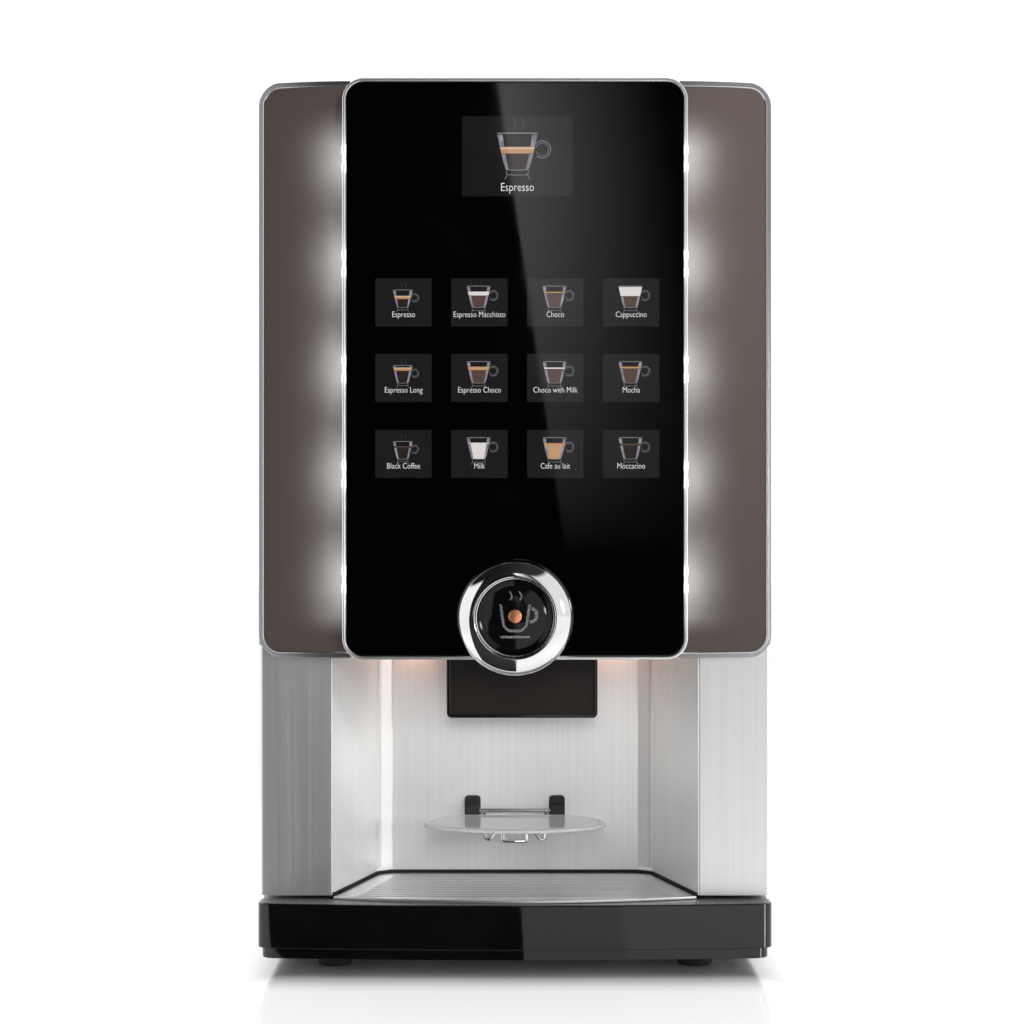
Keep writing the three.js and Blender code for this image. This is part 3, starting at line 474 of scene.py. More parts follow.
def lit(name, colour, strength, grain=700.0, contrast=0.12):
    """Part of a backlit picture: glossy like the glass under it, and lit from behind."""
    look = Look(name, "black_glass", Roughness=0.04, Emission_Strength=strength)
    look.feed("Base Color", (0.004, 0.004, 0.004, 1.0))
    pattern = look.between(look.noise(grain), 0.0, 1.0)
    shades = (shade(colour, 1 - contrast), shade(colour, 1 + contrast))
    look.feed("Emission Color", look.mixed(pattern, *shades))
    return look


def lamp(name, colour, strength, pale=0.8, rise=None):
    """A frosted diffuser lit from behind, brightening between two distances from the middle."""
    look = Look(name, "white_plastic", Roughness=0.5, Emission_Strength=strength)
    look.feed("Base Color", (pale, pale, pale, 1.0))
    frost = look.between(look.noise(300.0), 0.0, 1.0)
    look.feed("Emission Color", look.mixed(frost, shade(colour, 0.94), shade(colour, 1.0)))
    if rise:
        x = look.axes(look.place)[0]
        look.feed("Emission Strength", look.ramp(abs(x), *rise, 0.35 * strength, strength))
    return look


def clear(name, tint, roughness, strength):
    """Clear moulded plastic with faint flow marks."""
    look = Look(name, name, IOR=1.49, Transmission_Weight=strength)
    flow = look.noise((40.0, 90.0, 60.0))
    look.feed("Base Color", look.mixed(flow, shade(tint, 0.96), shade(tint, 1.0)))
    look.feed("Roughness", look.between(flow, roughness, roughness + 0.03))
    return look


EVEN = 900.0
LAMP_LEVELS = [315.0, 398.6, 482.2, 565.8, 649.4]
LAMP_PITCH = LAMP_LEVELS[1] - LAMP_LEVELS[0]

STEEL_UPRIGHT = brushed("steel_upright", (0.87, 0.87, 0.875), 0.42, 2)
STEEL_NICHE = brushed("steel_niche", (0.9, 0.9, 0.895), 0.46, 2, 0.65)
STEEL_LEVEL = brushed("steel_level", (0.95, 0.955, 0.96), 0.3, 0, dark=0.88)

METAL = {"Metallic": 1.0}
LEATHER = {"contrast": 0.35, "spread": 0.1, "relief": 0.16, "Specular_IOR_Level": 0.25}

# Each row: name, slot, colour, roughness, grains per metre, contrast, spread of the gloss, relief.
ZINC = surface("zinc", "zinc_steel", (0.55, 0.56, 0.57), 0.42, 140.0, 0.12, 0.1, **METAL)
CHROME = surface("chrome", "chrome", (0.86, 0.86, 0.87), 0.06, 60.0, 0.02, 0.02, **METAL)
# The bezel's silver carries the lamps' glow as painted emission.
SILVER = silver_edge()
# The wing paint carries the lamps' glow as painted emission.
PAINT = wing_paint()
GLASS = surface("black_glass", "black_glass", (0.0005, 0.0005, 0.0006), 0.03, 25.0, 0.3, 0.012)
GLOSS = surface("black_gloss", "black_gloss", (0.002, 0.002, 0.002), 0.06, 35.0, 0.3, 0.02)
DOME = surface("dome_gloss", "black_gloss", (0.002,) * 3, 0.1, 35.0, 0.3, 0.02, Specular_IOR_Level=0.3)
BLACK = surface("black_moulded", "black_matte", (0.016, 0.015, 0.014), 0.5, 1500.0, 0.25, 0.08, 0.05)
HOOD = surface("hood_leather", "black_matte", (0.0095, 0.007, 0.0055), 0.46, 1100.0, **LEATHER)
GRAPHITE = surface("graphite_coat", "graphite_paint", (0.035, 0.035, 0.038), 0.5, 1300.0, 0.2, 0.08, 0.06)
# The drawer's ledge is the band's black gloss painted grey: a painted reflection of what its top mirrors at
# a grazing view.
LEDGE_PAINTED_REFLECTION = surface("satin_ledge", "black_gloss", (0.17, 0.17, 0.171), 0.3, 400.0, 0.1, 0.06)
WHITE = surface("white_moulded", "white_plastic", (0.78, 0.77, 0.74), 0.42, 30.0, 0.03, 0.05, 0.02)
RUBBER = surface("rubber", "black_rubber", (0.018, 0.018, 0.018), 0.75, 2200.0, 0.3, 0.08, 0.04)
BRASS = surface("brass", "brass", (0.62, 0.45, 0.2), 0.3, 160.0, 0.1, 0.1, **METAL)
CAST = surface("cast_alloy", "cast_alloy", (0.06, 0.06, 0.064), 0.5, EVEN, 0.3, 0.1, 0.12, Metallic=0.4)
CLEAR = clear("clear_plate", (0.93, 0.95, 0.95), 0.08, 0.62)
SMOKE = clear("smoke_plastic", (0.42, 0.36, 0.32), 0.08, 0.9)
BEANS = surface("coffee_beans", "black_matte", (0.055, 0.022, 0.01), 0.38, 900.0, 0.4, 0.1, 0.05)
MILK_POWDER = surface("milk_powder", "white_plastic", (0.8, 0.74, 0.6), 0.8, 1200.0, 0.1, 0.05, 0.2)
CHOCO_POWDER = surface("choco_powder", "black_matte", (0.14, 0.06, 0.03), 0.8, 1200.0, 0.2, 0.05, 0.2)
LAMP = lamp("lamp_diffuser", (1.0, 0.99, 0.97), 6.0)
LAMP_RISE = (NICHE_HALF_REAR * MM, (NICHE_HALF_REAR - 5) * MM)
# The two corner strips stand for the same lamp: the right one's weaker emission is painted shade, as its
# corner of the niche lies in shadow.
NICHE_LAMPS = {
    "left": lamp("niche_light_left", (1.0, 0.98, 0.96), 0.62, 0.3, LAMP_RISE),
    "right": lamp("niche_light_right", (1.0, 0.97, 0.94), 0.14, 0.3, LAMP_RISE),
}
# The wing trim's silver in two copies: the moulding painted dark as its shade, and the bead along it painted
# bright as its highlight.
TRIM_SILVER_PAINTED_SHADE = surface("trim_silver", "silver_trim", (0.3, 0.3, 0.31), 0.34, EVEN, 0.08, **METAL)
TRIM_LINE_PAINTED_HIGHLIGHT = surface("trim_line", "silver_trim", (0.9, 0.89, 0.89), 0.3, EVEN, 0.03, 0.04, **METAL)
COPPER = surface("copper_disc", "brass", (0.78, 0.32, 0.16), 0.3, EVEN, 0.12, Metallic=0.9)
MARK = surface("silver_mark", "chrome", (0.75, 0.75, 0.76), 0.25, EVEN, 0.06, 0.05, **METAL)

# ---------- CAD nodes that stay ----------


def modifier_group(name):
    """An empty geometry group: its net, where the mesh comes in and where it goes out."""
    group = bpy.data.node_groups.new(name, "GeometryNodeTree")
    for way in ("INPUT", "OUTPUT"):
        group.interface.new_socket("Geometry", in_out=way, socket_type="NodeSocketGeometry")
    net = Net(group)
    return net, net.node("NodeGroupInput").outputs[0], net.node("NodeGroupOutput").inputs[0]


def edge_smoothing():
    """Modifier group: faces are smooth, and edges sharper than 30 degrees stay sharp."""
    net, mesh, result = modifier_group("edge_smoothing")
    smooth = net.node("GeometryNodeSetShadeSmooth", {0: mesh}).outputs[0]
    angle = net.node("GeometryNodeInputMeshEdgeAngle").outputs["Unsigned Angle"]
    above = net.node("FunctionNodeCompare", {"A": angle, "B": math.radians(30)}).outputs["Result"]
    values = {0: smooth, "Selection": above, "Shade Smooth": False}
    net.put(net.node("GeometryNodeSetShadeSmooth", values, domain="EDGE").outputs[0], result)
    return net.tree


def normals_cleared():
    """Modifier group: drops the imported normals, so that later modifiers make their own."""
    net, mesh, result = modifier_group("normals_cleared")
    values = {0: mesh, "Name": "custom_normal"}
    net.put(net.node("GeometryNodeRemoveAttribute", values).outputs[0], result)
    return net.tree


SMOOTHING = edge_smoothing()
CLEARING = normals_cleared()


def dress(look, edge, *names):
    """Gives CAD nodes their material and rounds their edges."""
    for name in names:
        node = frame["nodes"][name]
        holder = node.material_slots[0]
        holder.link = "OBJECT"
        holder.material = look.material
        node.modifiers.new("clearing", "NODES").node_group = CLEARING
        weld = node.modifiers.new("weld", "WELD")
        weld.merge_threshold = 1e-5
        if edge:
            bevel = node.modifiers.new("edges", "BEVEL")
            bevel.width = edge * MM
            bevel.segments = 2
            bevel.limit_method = "ANGLE"
            bevel.angle_limit = math.radians(40)
        node.modifiers.new("smoothing", "NODES").node_group = SMOOTHING
        node.modifiers.new("level", "WEIGHTED_NORMAL").keep_sharp = True


dress(STEEL_UPRIGHT, 0.35, "door_frame", "column_left", "column_right")
dress(STEEL_NICHE, 0.35, "niche_liner")
dress(ZINC, 0.3, "door_inner_cover", "chassis_base", "bulkhead", "power_supply")
dress(BLACK, 0.4, "nozzle_block", "shelf_bracket_left", "shelf_bracket_right", "panel_carrier")
dress(BLACK, 0.4, "display_module", "drip_tray", "hopper_shutter", "brew_unit", "waste_bin")
dress(BLACK, 0.4, "whipper_motor_1", "whipper_motor_2", "pump", "power_rocker")
dress(GRAPHITE, 0.3, "side_panel_left", "side_panel_right", "rear_panel", "top_frame", "top_lid")
dress(WHITE, 0.4, "powder_canister_1", "powder_canister_2", "mixing_bowl_1", "mixing_bowl_2")
dress(WHITE, 0.3, "whipper_impeller_1", "whipper_impeller_2", "brew_piston")
dress(CHROME, 0.3, "lock_cylinder", "hinge_pin_bottom", "hinge_pin_top")
dress(SMOKE, 0.3, "bean_hopper")
dress(CAST, 0.5, "grinder")
dress(BRASS, 0.4, "boiler", "inlet_valve")

# ---------- fascia ----------


def glass_outline(inset):
    low, high = BEZEL_LOW, BEZEL_HIGH
    sides = (low.x + inset, high.x - inset, low.z + inset, high.z - inset)
    return rounded_rect(*sides, GLASS_CORNER - inset, 14)


def glass_panel():
    inset = BEZEL_WIDTH + 0.3
    edge = [(0.0, GLASS_HIGH.y), (0.0, GLASS_Y + 0.5), (0.15, GLASS_Y + 0.15), (0.5, GLASS_Y)]
    build = Build().stack([(glass_outline(inset + i), y) for i, y in edge], frontal)
    build.make("touch_glass", GLASS, "door", ["glass_panel"], level=True)


def glass_bezel():
    front, rear, width = BEZEL_LOW.y, BEZEL_HIGH.y, BEZEL_WIDTH
    section = filleted([(0.0, rear), (0.0, front), (width, front), (width, rear)], 1.1, 5)
    build = Build().stack([(glass_outline(i), y) for i, y in section], frontal, closed=True)
    build.make("silver_bezel", SILVER, "door", ["glass_bezel"])


def wing_front(x):
    """Depth of the wing's surface at a distance from the middle."""
    crest, sweep, inner = -240, 14, WING_LOW.x
    return crest + sweep * ((abs(x) - inner) / (HALF - inner)) ** 2


def wing(side, name):
    """A curved plate with two rounded outer corners."""
    radius = WING_CORNER - TRIM_WIDTH
    outer = WING_HIGH.x
    low, high, rear = WING_LOW.z, WING_HIGH.z, WING_HIGH.y
    stations = [WING_LOW.x + (outer - radius - WING_LOW.x) * i / 16 for i in range(17)]
    stations += [outer - radius + radius * math.sin(math.pi / 2 * i / 16) for i in range(1, 17)]
    loops = []
    for x in stations:
        past = max(0.0, x - (outer - radius))
        drop = radius - math.sqrt(max(0.0, radius**2 - past**2))
        y = wing_front(x)
        heights = [low + drop + (high - low - 2 * drop) * k / 6 for k in range(7)]
        loop = [(side * x, y, z) for z in heights]
        loop += [(side * x, rear, z) for z in reversed(heights)]
        loops.append(loop)
    Build().loft(loops).make("wing_skin_" + name, PAINT, "door", ["wing_" + name], level=True)


def wing_trim(side, name):
    """Silver moulding along the wing's top, outer and bottom edges: the moulding's silver painted dark as
    painted shade, and the bead along it painted bright as a painted highlight.
    """
    rear = TRIM_HIGH.y
    inner = TRIM_LOW.x
    straight = 8
    seam = TRIM_WIDTH - 1.1

    def path(inset):
        low, high, outer = TRIM_LOW.z + inset, TRIM_HIGH.z - inset, HALF - inset
        radius = WING_CORNER - inset
        start = outer - radius
        run = [(inner + (start - inner) * i / straight, low) for i in range(straight)]
        run += arc(start, low + radius, radius, -90, 0, 12)
        run += arc(start, high - radius, radius, 0, 90, 12)
        run += [(start + (inner - start) * i / straight, high) for i in range(1, straight + 1)]
        return run

    def bar(section):
        """Sweeps a section of (inset, how far it stands out) along the moulding; None is its rear."""
        loops = []
        for stations in zip(*[path(inset) for inset, _ in section]):
            loop = []
            for (x, z), (_, proud) in zip(stations, section):
                depth = rear if proud is None else wing_front(x) - proud
                loop.append((side * x, depth, z))
            loops.append(loop)
        return Build().loft(loops)

    band = [(0.0, None), (0.0, 0.0), (0.4, 0.4), (1.4, 0.55), (seam - 0.2, 0.5), (seam, 0.3), (seam, None)]
    end = TRIM_WIDTH
    bead = [(seam, 0.1), (seam + 0.2, 0.5), (seam + 0.6, 0.6), (end - 0.1, 0.4), (end, -0.3), (seam, -0.3)]
    bar(band).make("trim_moulding_" + name, TRIM_SILVER_PAINTED_SHADE, "door", ["wing_trim_" + name])
    bar(bead).make("trim_line_" + name, TRIM_LINE_PAINTED_HIGHLIGHT, "door")


def lamp_strips():
    """Diffuser strips that fill the slits beside the glass, behind its overhanging edge."""
    front, rear = BEZEL_HIGH.y + 0.2, wing_front(WING_LOW.x) - 0.05
    inner, outer, half, spread = BEZEL_HIGH.x - 4, BEZEL_HIGH.x + 0.6, 4.5, 7
    for side, name in SIDES:
        build = Build()
        for level in LAMP_LEVELS:
            for z in (level - spread, level + spread):
                outline = rounded_rect(inner, outer, z - half, z + half, 2, 4)
                build.prism([(side * u, v) for u, v in outline], frontal, front, rear)
        build.make("lamp_lenses_" + name, LAMP, "door")


glass_panel()
glass_bezel()
for side, name in SIDES:
    wing(side, name)
    wing_trim(side, name)
lamp_strips()

# ---------- emblem ----------


def emblem():
    """Chrome ring, the black dome in it and the silver collar between them."""
    centre = (0, EMBLEM_Z)
    outer, radius = RING_HIGH.x, CAP_HIGH.x
    inner = radius + 0.3
    front, rear = RING_LOW.y, RING_HIGH.y
    face = [(inner, 1.2), (inner + 0.4, 0.3), (inner + 1.4, 0), (inner + 5.0, 0.7), (inner + 9.0, 2.6)]
    face += [(outer - 2.4, 5.4), (outer - 0.6, 9.0), (outer, 12.5)]
    face = smoothed([(r, front + w) for r, w in face], 5)
    build = Build().turned([*face, (outer, rear), (inner, rear)], frontal, centre, 128, closed=True)
    build.make("chrome_ring", CHROME, "door", ["emblem_ring"], sharp=60)
    front, rear = CAP_LOW.y, CAP_HIGH.y
    dome = [(0.5, 0), (8.0, 0.3), (16.0, 1.3), (23.0, 3.4), (28.0, 6.0), (30.2, 8.2), (radius, 9.6)]
    dome = smoothed([(r, front + w) for r, w in dome], 5)
    build = Build().turned([*dome, (radius, rear)], frontal, centre, 128)
    build.make("emblem_dome", DOME, "door", ["emblem_cap"], sharp=60)
    band = [(-0.9, 7.2), (-0.2, 7.0), (0.1, 7.6), (0.1, 11.0), (-0.9, 11.0)]
    build = Build().turned([(radius + r, front + w) for r, w in band], frontal, centre, 128, closed=True)
    build.make("emblem_collar", MARK, "door", sharp=60)


def emblem_mark():
    """A plain cup outline with a bean disc in it, inlaid in the dome."""
    base = EMBLEM_Z + 0.5
    grow = 1.45

    def drawn(points):
        return [(grow * u, base + grow * v) for u, v in points]

    front = CAP_LOW.y - 0.25
    rear = CAP_LOW.y + 1.6
    cup = [(-8.5, 7.0), (-6.8, -5.0), (-3.8, -8.0), (3.8, -8.0), (6.8, -5.0), (8.5, 7.0)]
    inside = [(-7.1, 7.0), (-5.6, -4.4), (-3.2, -6.6), (3.2, -6.6), (5.6, -4.4), (7.1, 7.0)]
    wall = filleted(cup, 2.2) + filleted(list(reversed(inside)), 2.0)
    build = Build().prism(drawn(wall), frontal, front, rear)
    handle = arc(8.2, 1.2, 4.4, 80, -92, 14) + arc(7.8, 1.2, 3.0, -88, 76, 14)
    build.prism(drawn(handle), frontal, front, rear)
    build.prism(drawn(rounded_rect(-8.0, 8.0, -11.2, -10.0, 0.6, 4)), frontal, front, rear + 1.5)
    for shift in (-2.6, 2.6):
        steam = [(shift + 0.9 * math.sin(k / 2.2), 9.2 + k * 0.6) for k in range(9)]
        outline = [(u - 0.45, v) for u, v in steam] + [(u + 0.45, v) for u, v in reversed(steam)]
        build.prism(drawn(outline), frontal, front, rear + 1.5)
    build.make("emblem_cup", MARK, "door")
    disc = [(5.2, rear), (5.2, front + 0.2), (4.8, front), (0.2, front - 0.2)]
    Build().turned(disc, frontal, (0, base + 0.8), 40).make("emblem_bean", COPPER, "door")


emblem()
emblem_mark()

# ---------- lit pictures on the glass ----------

GLASSY = lit("lit_glass", (0.42, 0.38, 0.46), 0.6, (260.0, 260.0, 120.0), 0.45)
FOAM = lit("lit_foam", (0.8, 0.56, 0.38), 0.75, contrast=0.1)
EDGE = lit("lit_edge", (0.6, 0.6, 0.66), 0.36, contrast=0.3)
TILE = lit("lit_tile", (0.0062, 0.0062, 0.0062), 1.0, 30.0, 0.1)
SCREEN = lit("lit_screen", (0.0035, 0.0035, 0.004), 1.0, 20.0, 0.2)
CREMA = lit("lit_crema", (0.62, 0.34, 0.17), 0.75)
ESPRESSO = lit("lit_espresso", (0.02, 0.014, 0.012), 0.9)
COCOA = lit("lit_cocoa", (0.095, 0.056, 0.044), 0.9)
MILK = lit("lit_milk", (0.88, 0.83, 0.8), 0.8)
LATTE = lit("lit_latte", (0.62, 0.36, 0.18), 0.8)
CAPTION = lit("lit_caption", (0.95, 0.95, 0.95), 0.9, contrast=0.03)
STEAM = lit("lit_steam", (0.05, 0.05, 0.06), 0.7, contrast=0.4)


class Pictures:
    """Flat lit shapes gathered by look, each a thin solid on the glass."""

    def __init__(self):
        self.builds = {}

    def build(self, look):
        return self.builds.setdefault(look.material.name, (look, Build()))[1]

    def shape(self, look, outline, proud):
        self.build(look).prism(outline, frontal, GLASS_Y + 0.05, GLASS_Y - proud)

    def words(self, words, size, u, v, proud=0.16):
        self.build(CAPTION).text(words, frontal, size, u, v, GLASS_Y - proud, GLASS_Y + 0.05)

    def make(self):
        for name, (look, build) in self.builds.items():
            build.make("picture_" + name, look, "door")


def cup_half(t):
    """Half the cup's width, in its own units, at a share of its height."""
    return 9.5 + 7.5 * t**0.8


def cup_slice(cu, cv, scale, low, high, side=0):
    """The part of the cup between two levels: all of it, or a strip along one side."""
    steps = [low + (high - low) * i / 6 for i in range(7)]
    outer = [(cup_half(t) - 0.4, 30 * t) for t in steps]
    if side:
        inner = [(u * 0.74, v) for u, v in outer]
    else:
        inner = [(-u, v) for u, v in outer]
    outline = outer + list(reversed(inner))
    mirror = -1 if side < 0 else 1
    return [(cu + mirror * scale * u, cv + scale * v) for u, v in outline]


def draw_cup(pictures, cu, cv, scale, drink, steam=False):
    """A glass cup with its drink. drink lists (look, low, high) as shares of the cup's height."""
    for look, low, high in drink:
        pictures.shape(look, cup_slice(cu, cv, scale, low, high), 0.08)
    filled = max(high for _, _, high in drink)
    for side in (-1, 1):
        pictures.shape(GLASSY, cup_slice(cu, cv, scale, filled + 0.01, 0.97, side), 0.08)
        pictures.shape(GLASSY, cup_slice(cu, cv, scale, 0.02, drink[0][2] * 0.96, side), 0.1)

    def line(points, width):
        run = [Vector((cu + scale * u, cv + scale * v)) for u, v in points]
        left, right = [], []
        for i, point in enumerate(run):
            along = run[min(i + 1, len(run) - 1)] - run[max(i - 1, 0)]
            across = Vector((-along.y, along.x)).normalized() * width * scale / 2
            left.append(tuple(point + across))
            right.append(tuple(point - across))
        pictures.shape(EDGE, left + right[::-1], 0.12)

    line([(-16.6, 30.2), (-8.0, 30.6), (8.0, 30.6), (16.6, 30.2)], 0.9)
    line([(-9.0, 0.6), (0.0, 0.0), (9.0, 0.6)], 0.6)
    line([(-8.8, -3.6), (0.0, -4.0), (8.8, -3.6)], 0.5)
    line([(-9.2, -0.4), (-8.4, -4.0), (-10.4, -7.4)], 0.5)
    line([(9.2, -0.4), (8.4, -4.0), (10.4, -7.4)], 0.5)
    line(arc(20.4, 17.2, 7.0, 138, -128, 28), 0.6)
    line(arc(20.4, 17.2, 5.2, 165, -165, 28), 0.35)
    if steam:
        for shift in (-3.0, 3.5):
            wisp = [(shift + 1.6 * math.sin(k / 3.0), 33 + k * 1.0) for k in range(11)]
            outline = [(u - 0.5, v) for u, v in wisp] + [(u + 0.5, v) for u, v in reversed(wisp)]
            pictures.shape(STEAM, [(cu + scale * u, cv + scale * v) for u, v in outline], 0.07)


def short_coffee(level=0.46):
    return [(ESPRESSO, 0.02, level), (CREMA, level, level + 0.12), (FOAM, level + 0.12, level + 0.18)]


DRINKS = [
    [
        ("Espresso", short_coffee(0.5)),
        ("Espresso Macchiato", [(COCOA, 0.02, 0.58), (MILK, 0.58, 0.76)]),
        ("Choco", [(COCOA, 0.02, 0.7), (LATTE, 0.7, 0.75)]),
        ("Cappuccino", [(COCOA, 0.02, 0.55), (MILK, 0.55, 0.98)]),
    ],
    [
        ("Espresso Long", short_coffee(0.72)),
        ("Espresso Choco", [(COCOA, 0.02, 0.62), (LATTE, 0.62, 0.78)]),
        ("Choco with Milk", [(COCOA, 0.02, 0.68), (MILK, 0.68, 0.74)]),
        ("Mocha", [(COCOA, 0.02, 0.7), (CREMA, 0.7, 0.78)]),
    ],
    [
        ("Black Coffee", [(ESPRESSO, 0.02, 0.68), (COCOA, 0.68, 0.74)]),
        ("Milk", [(MILK, 0.02, 0.78)]),
        ("Cafe au lait", [(LATTE, 0.02, 0.66), (CREMA, 0.66, 0.76)]),
        ("Moccacino", [(ESPRESSO, 0.02, 0.66), (COCOA, 0.66, 0.74)]),
    ],
]

PICTURE_SHIFT = 1.8  # the pictures stand a little to the right of the middle
KEY_PITCH = 60.0
KEY_ROWS = [534.5, 474.8, 414.7]
KEY_HALF_WIDTH = 22.25
KEY_HALF_HEIGHT = 19.0
KEY_CUP = 0.56
STEAMING_KEY_CUP = 0.46
KEY_CAPTION = 6.5
DISPLAY_BORDER = 10.4
DISPLAY_FOOT = 618.4
DISPLAY_TOP = 681.6
DISPLAY_CUP = 0.96
DISPLAY_CAPTION = 9.4


def picture_ground(pictures, look, u, half_width, foot, top):
    outline = rounded_rect(u - half_width, u + half_width, foot, top, 0.8, 3)
    pictures.shape(look, outline, 0.04)


def key_tile(pictures, u, v, words, drink, steam):
    picture_ground(pictures, TILE, u, KEY_HALF_WIDTH, v - KEY_HALF_HEIGHT, v + KEY_HALF_HEIGHT)
    scale = STEAMING_KEY_CUP if steam else KEY_CUP
    draw_cup(pictures, u - 0.6, v - 4.2, scale, drink, steam)
    pictures.words(words, KEY_CAPTION, u, v - 11.6)


def display_picture(pictures):
    u = PICTURE_SHIFT
    picture_ground(pictures, SCREEN, u, SCREEN_HIGH.x - DISPLAY_BORDER, DISPLAY_FOOT, DISPLAY_TOP)
    draw_cup(pictures, u, DISPLAY_FOOT + 20.6, DISPLAY_CUP, short_coffee(), steam=True)
    pictures.words("Espresso", DISPLAY_CAPTION, u, DISPLAY_FOOT + 4.2)


def key_pictures():
    pictures = Pictures()
    for row, v in zip(DRINKS, KEY_ROWS):
        for column, (words, drink) in enumerate(row):
            u = PICTURE_SHIFT + (column - 1.5) * KEY_PITCH
            key_tile(pictures, u, v, words, drink, steam=column == 0)
    display_picture(pictures)
    pictures.make()


key_pictures()

# ---------- niche ----------


def niche_lights():
    """Light strips in the two canted corners of the niche."""
    foot, top = 66.0, 259.0
    ends = [
        (NICHE_HALF_REAR - 1.4, NICHE_BACK - NICHE_DEEP + 0.15),
        (NICHE_HALF_REAR - NICHE_ACROSS + 0.8, NICHE_BACK - 1.4),
    ]
    back = [(u + 0.5, v + 0.7) for u, v in reversed(ends)]
    outline = filleted([*ends, *back], 0.3, 2, closed=True)
    for side, name in SIDES:
        build = Build().prism([(side * u, v) for u, v in outline], upright, foot, top)
        build.make("niche_light_" + name, NICHE_LAMPS[name], "door")


def niche_gasket():
    """Black seal along the foot of the niche walls."""
    foot, top = 61.4, 63.0
    rear = NICHE_HALF_REAR - NICHE_ACROSS

    def wall(inset):
        half = [
            (NICHE_HALF_FRONT - inset, COLUMN_FRONT + 1.2),
            (NICHE_HALF_REAR - inset, NICHE_BACK - NICHE_DEEP - inset / 2),
            (rear - inset / 3, NICHE_BACK - inset),
        ]
        return [(-u, v) for u, v in half] + half[::-1]

    Build().prism(wall(0.05) + wall(1.2)[::-1], upright, foot, top).make("niche_gasket", RUBBER, "door")


def spout_hood_details():
    """Raised bead round the hood's face, and the knob on it."""
    low, high, front = HOOD_LOW, HOOD_HIGH, HOOD_LOW.y

    def outline(inset):
        return rounded_rect(low.x + inset, high.x - inset, low.z + inset, high.z + 6 - inset, 4.5 - inset, 8)

    build = Build()
    loops = []
    for inset, proud in [(1.0, -0.3), (1.2, 0.5), (2.0, 0.7), (2.8, 0.5), (3.0, -0.3)]:
        loops.append([frontal(u, min(v, high.z - 0.4), front - proud) for u, v in outline(inset)])
    build.loft(loops, closed=True)
    build.make("hood_bead", GLOSS, "door")
    knob_centre = (-27.5, 243.5)
    profile = [(3.4, front + 0.2), (3.4, front - 3.0), (2.8, front - 3.8), (0.4, front - 4.0)]
    Build().turned(profile, frontal, knob_centre, 32).make("hood_knob", BLACK, "door")


dress(HOOD, 0.8, "spout_cover")
niche_lights()
niche_gasket()
spout_hood_details()

# ---------- cup shelf ----------


def shelf_outline(inset):
    """Oval with a straight rear edge."""
    widest = -172.0
    half = SHELF_HIGH.x - inset
    front = widest - SHELF_LOW.y - inset
    rear = 62.0 - inset
    end = math.asin((SHELF_HIGH.y - inset - widest) / rear)

    def sweep(start, turn, depth, steps):
        angles = [start + turn * k / steps for k in range(steps + 1)]
        return [(half * math.cos(a), widest + depth * math.sin(a)) for a in angles]

    left = sweep(math.pi - end, end, rear, 16)
    return left + sweep(math.pi, math.pi, front, 48)[1:-1] + sweep(0, end, rear, 16)


def shelf_plate():
    """Plate with rounded edges and a shallow groove round its top."""
    low, high = SHELF_LOW.z, SHELF_HIGH.z
    section = [(1.0, low), (0.3, low + 0.3), (0.0, low + 0.8), (0.0, high - 0.8), (0.3, high - 0.25)]
    section += [(0.9, high), (3.2, high), (3.8, high - 0.5), (4.6, high - 0.5), (5.2, high)]
    build = Build().stack([(shelf_outline(i), z) for i, z in section], upright)
    build.make("clear_shelf", CLEAR, "cup_shelf", ["shelf_plate"], level=True)


def shelf_wire():
    wire_low, wire_high = span("shelf_wire")
    pivot_y, pivot_z = -112.5, 114.5
    wire = 1.6
    under = SHELF_LOW.z - 0.3 - wire
    arm, grip_y, grip_half, grip_z = 26.0, -172.0, 10.0, wire_low.z + wire
    build = Build()
    for side in (-1, 1):
        corners = [
            (side * arm, pivot_y, pivot_z), (side * arm, pivot_y - 7, under),
            (side * arm, grip_y, under), (side * (arm - 1.5), grip_y, under - 8.5),
            (side * (arm - 6), grip_y, under - 8.5), (side * (arm - 12.5), grip_y, under),
            (side * grip_half, grip_y, under), (side * grip_half, grip_y, grip_z),
            (0, grip_y, grip_z),
        ]
        build.tube(filleted(corners, 2.6, 6), wire - 0.3)
    build.tube([(wire_low.x, pivot_y, pivot_z), (wire_high.x, pivot_y, pivot_z)], 1.8, 20)
    build.make("shelf_frame", CHROME, "cup_shelf", ["shelf_wire"])


shelf_plate()
shelf_wire()

# ---------- drip drawer ----------


def band_path(inset):
    """Plan of the bowed band from its left rear end round the front to its right rear end."""
    side = HALF - inset
    corner, bow, rear = 12.0, 8.8, BAND_HIGH.y
    corner_y = BAND_LOW.y + bow + inset

    def bend(a, b, c, steps):
        a, b, c = Vector(a), Vector(b), Vector(c)
        return [tuple(a.lerp(b, k / steps).lerp(b.lerp(c, k / steps), k / steps)) for k in range(steps + 1)]

    left = bend((-side, corner_y + corner), (-side, corner_y + 1), (-side + corner, corner_y), 10)
    front = bend((-side + corner, corner_y), (0, BAND_LOW.y - bow + inset), (side - corner, corner_y), 64)
    right = [(-u, v) for u, v in reversed(left)]
    return [(-side, rear), *left, *front[1:-1], *right, (side, rear)]


def tray_front(u, half, inset):
    """Depth of the bowed front edge of the tray opening."""
    bow = 84
    t = (u + half) / (2 * half)
    return COLUMN_FRONT + inset - bow * t * (1 - t)


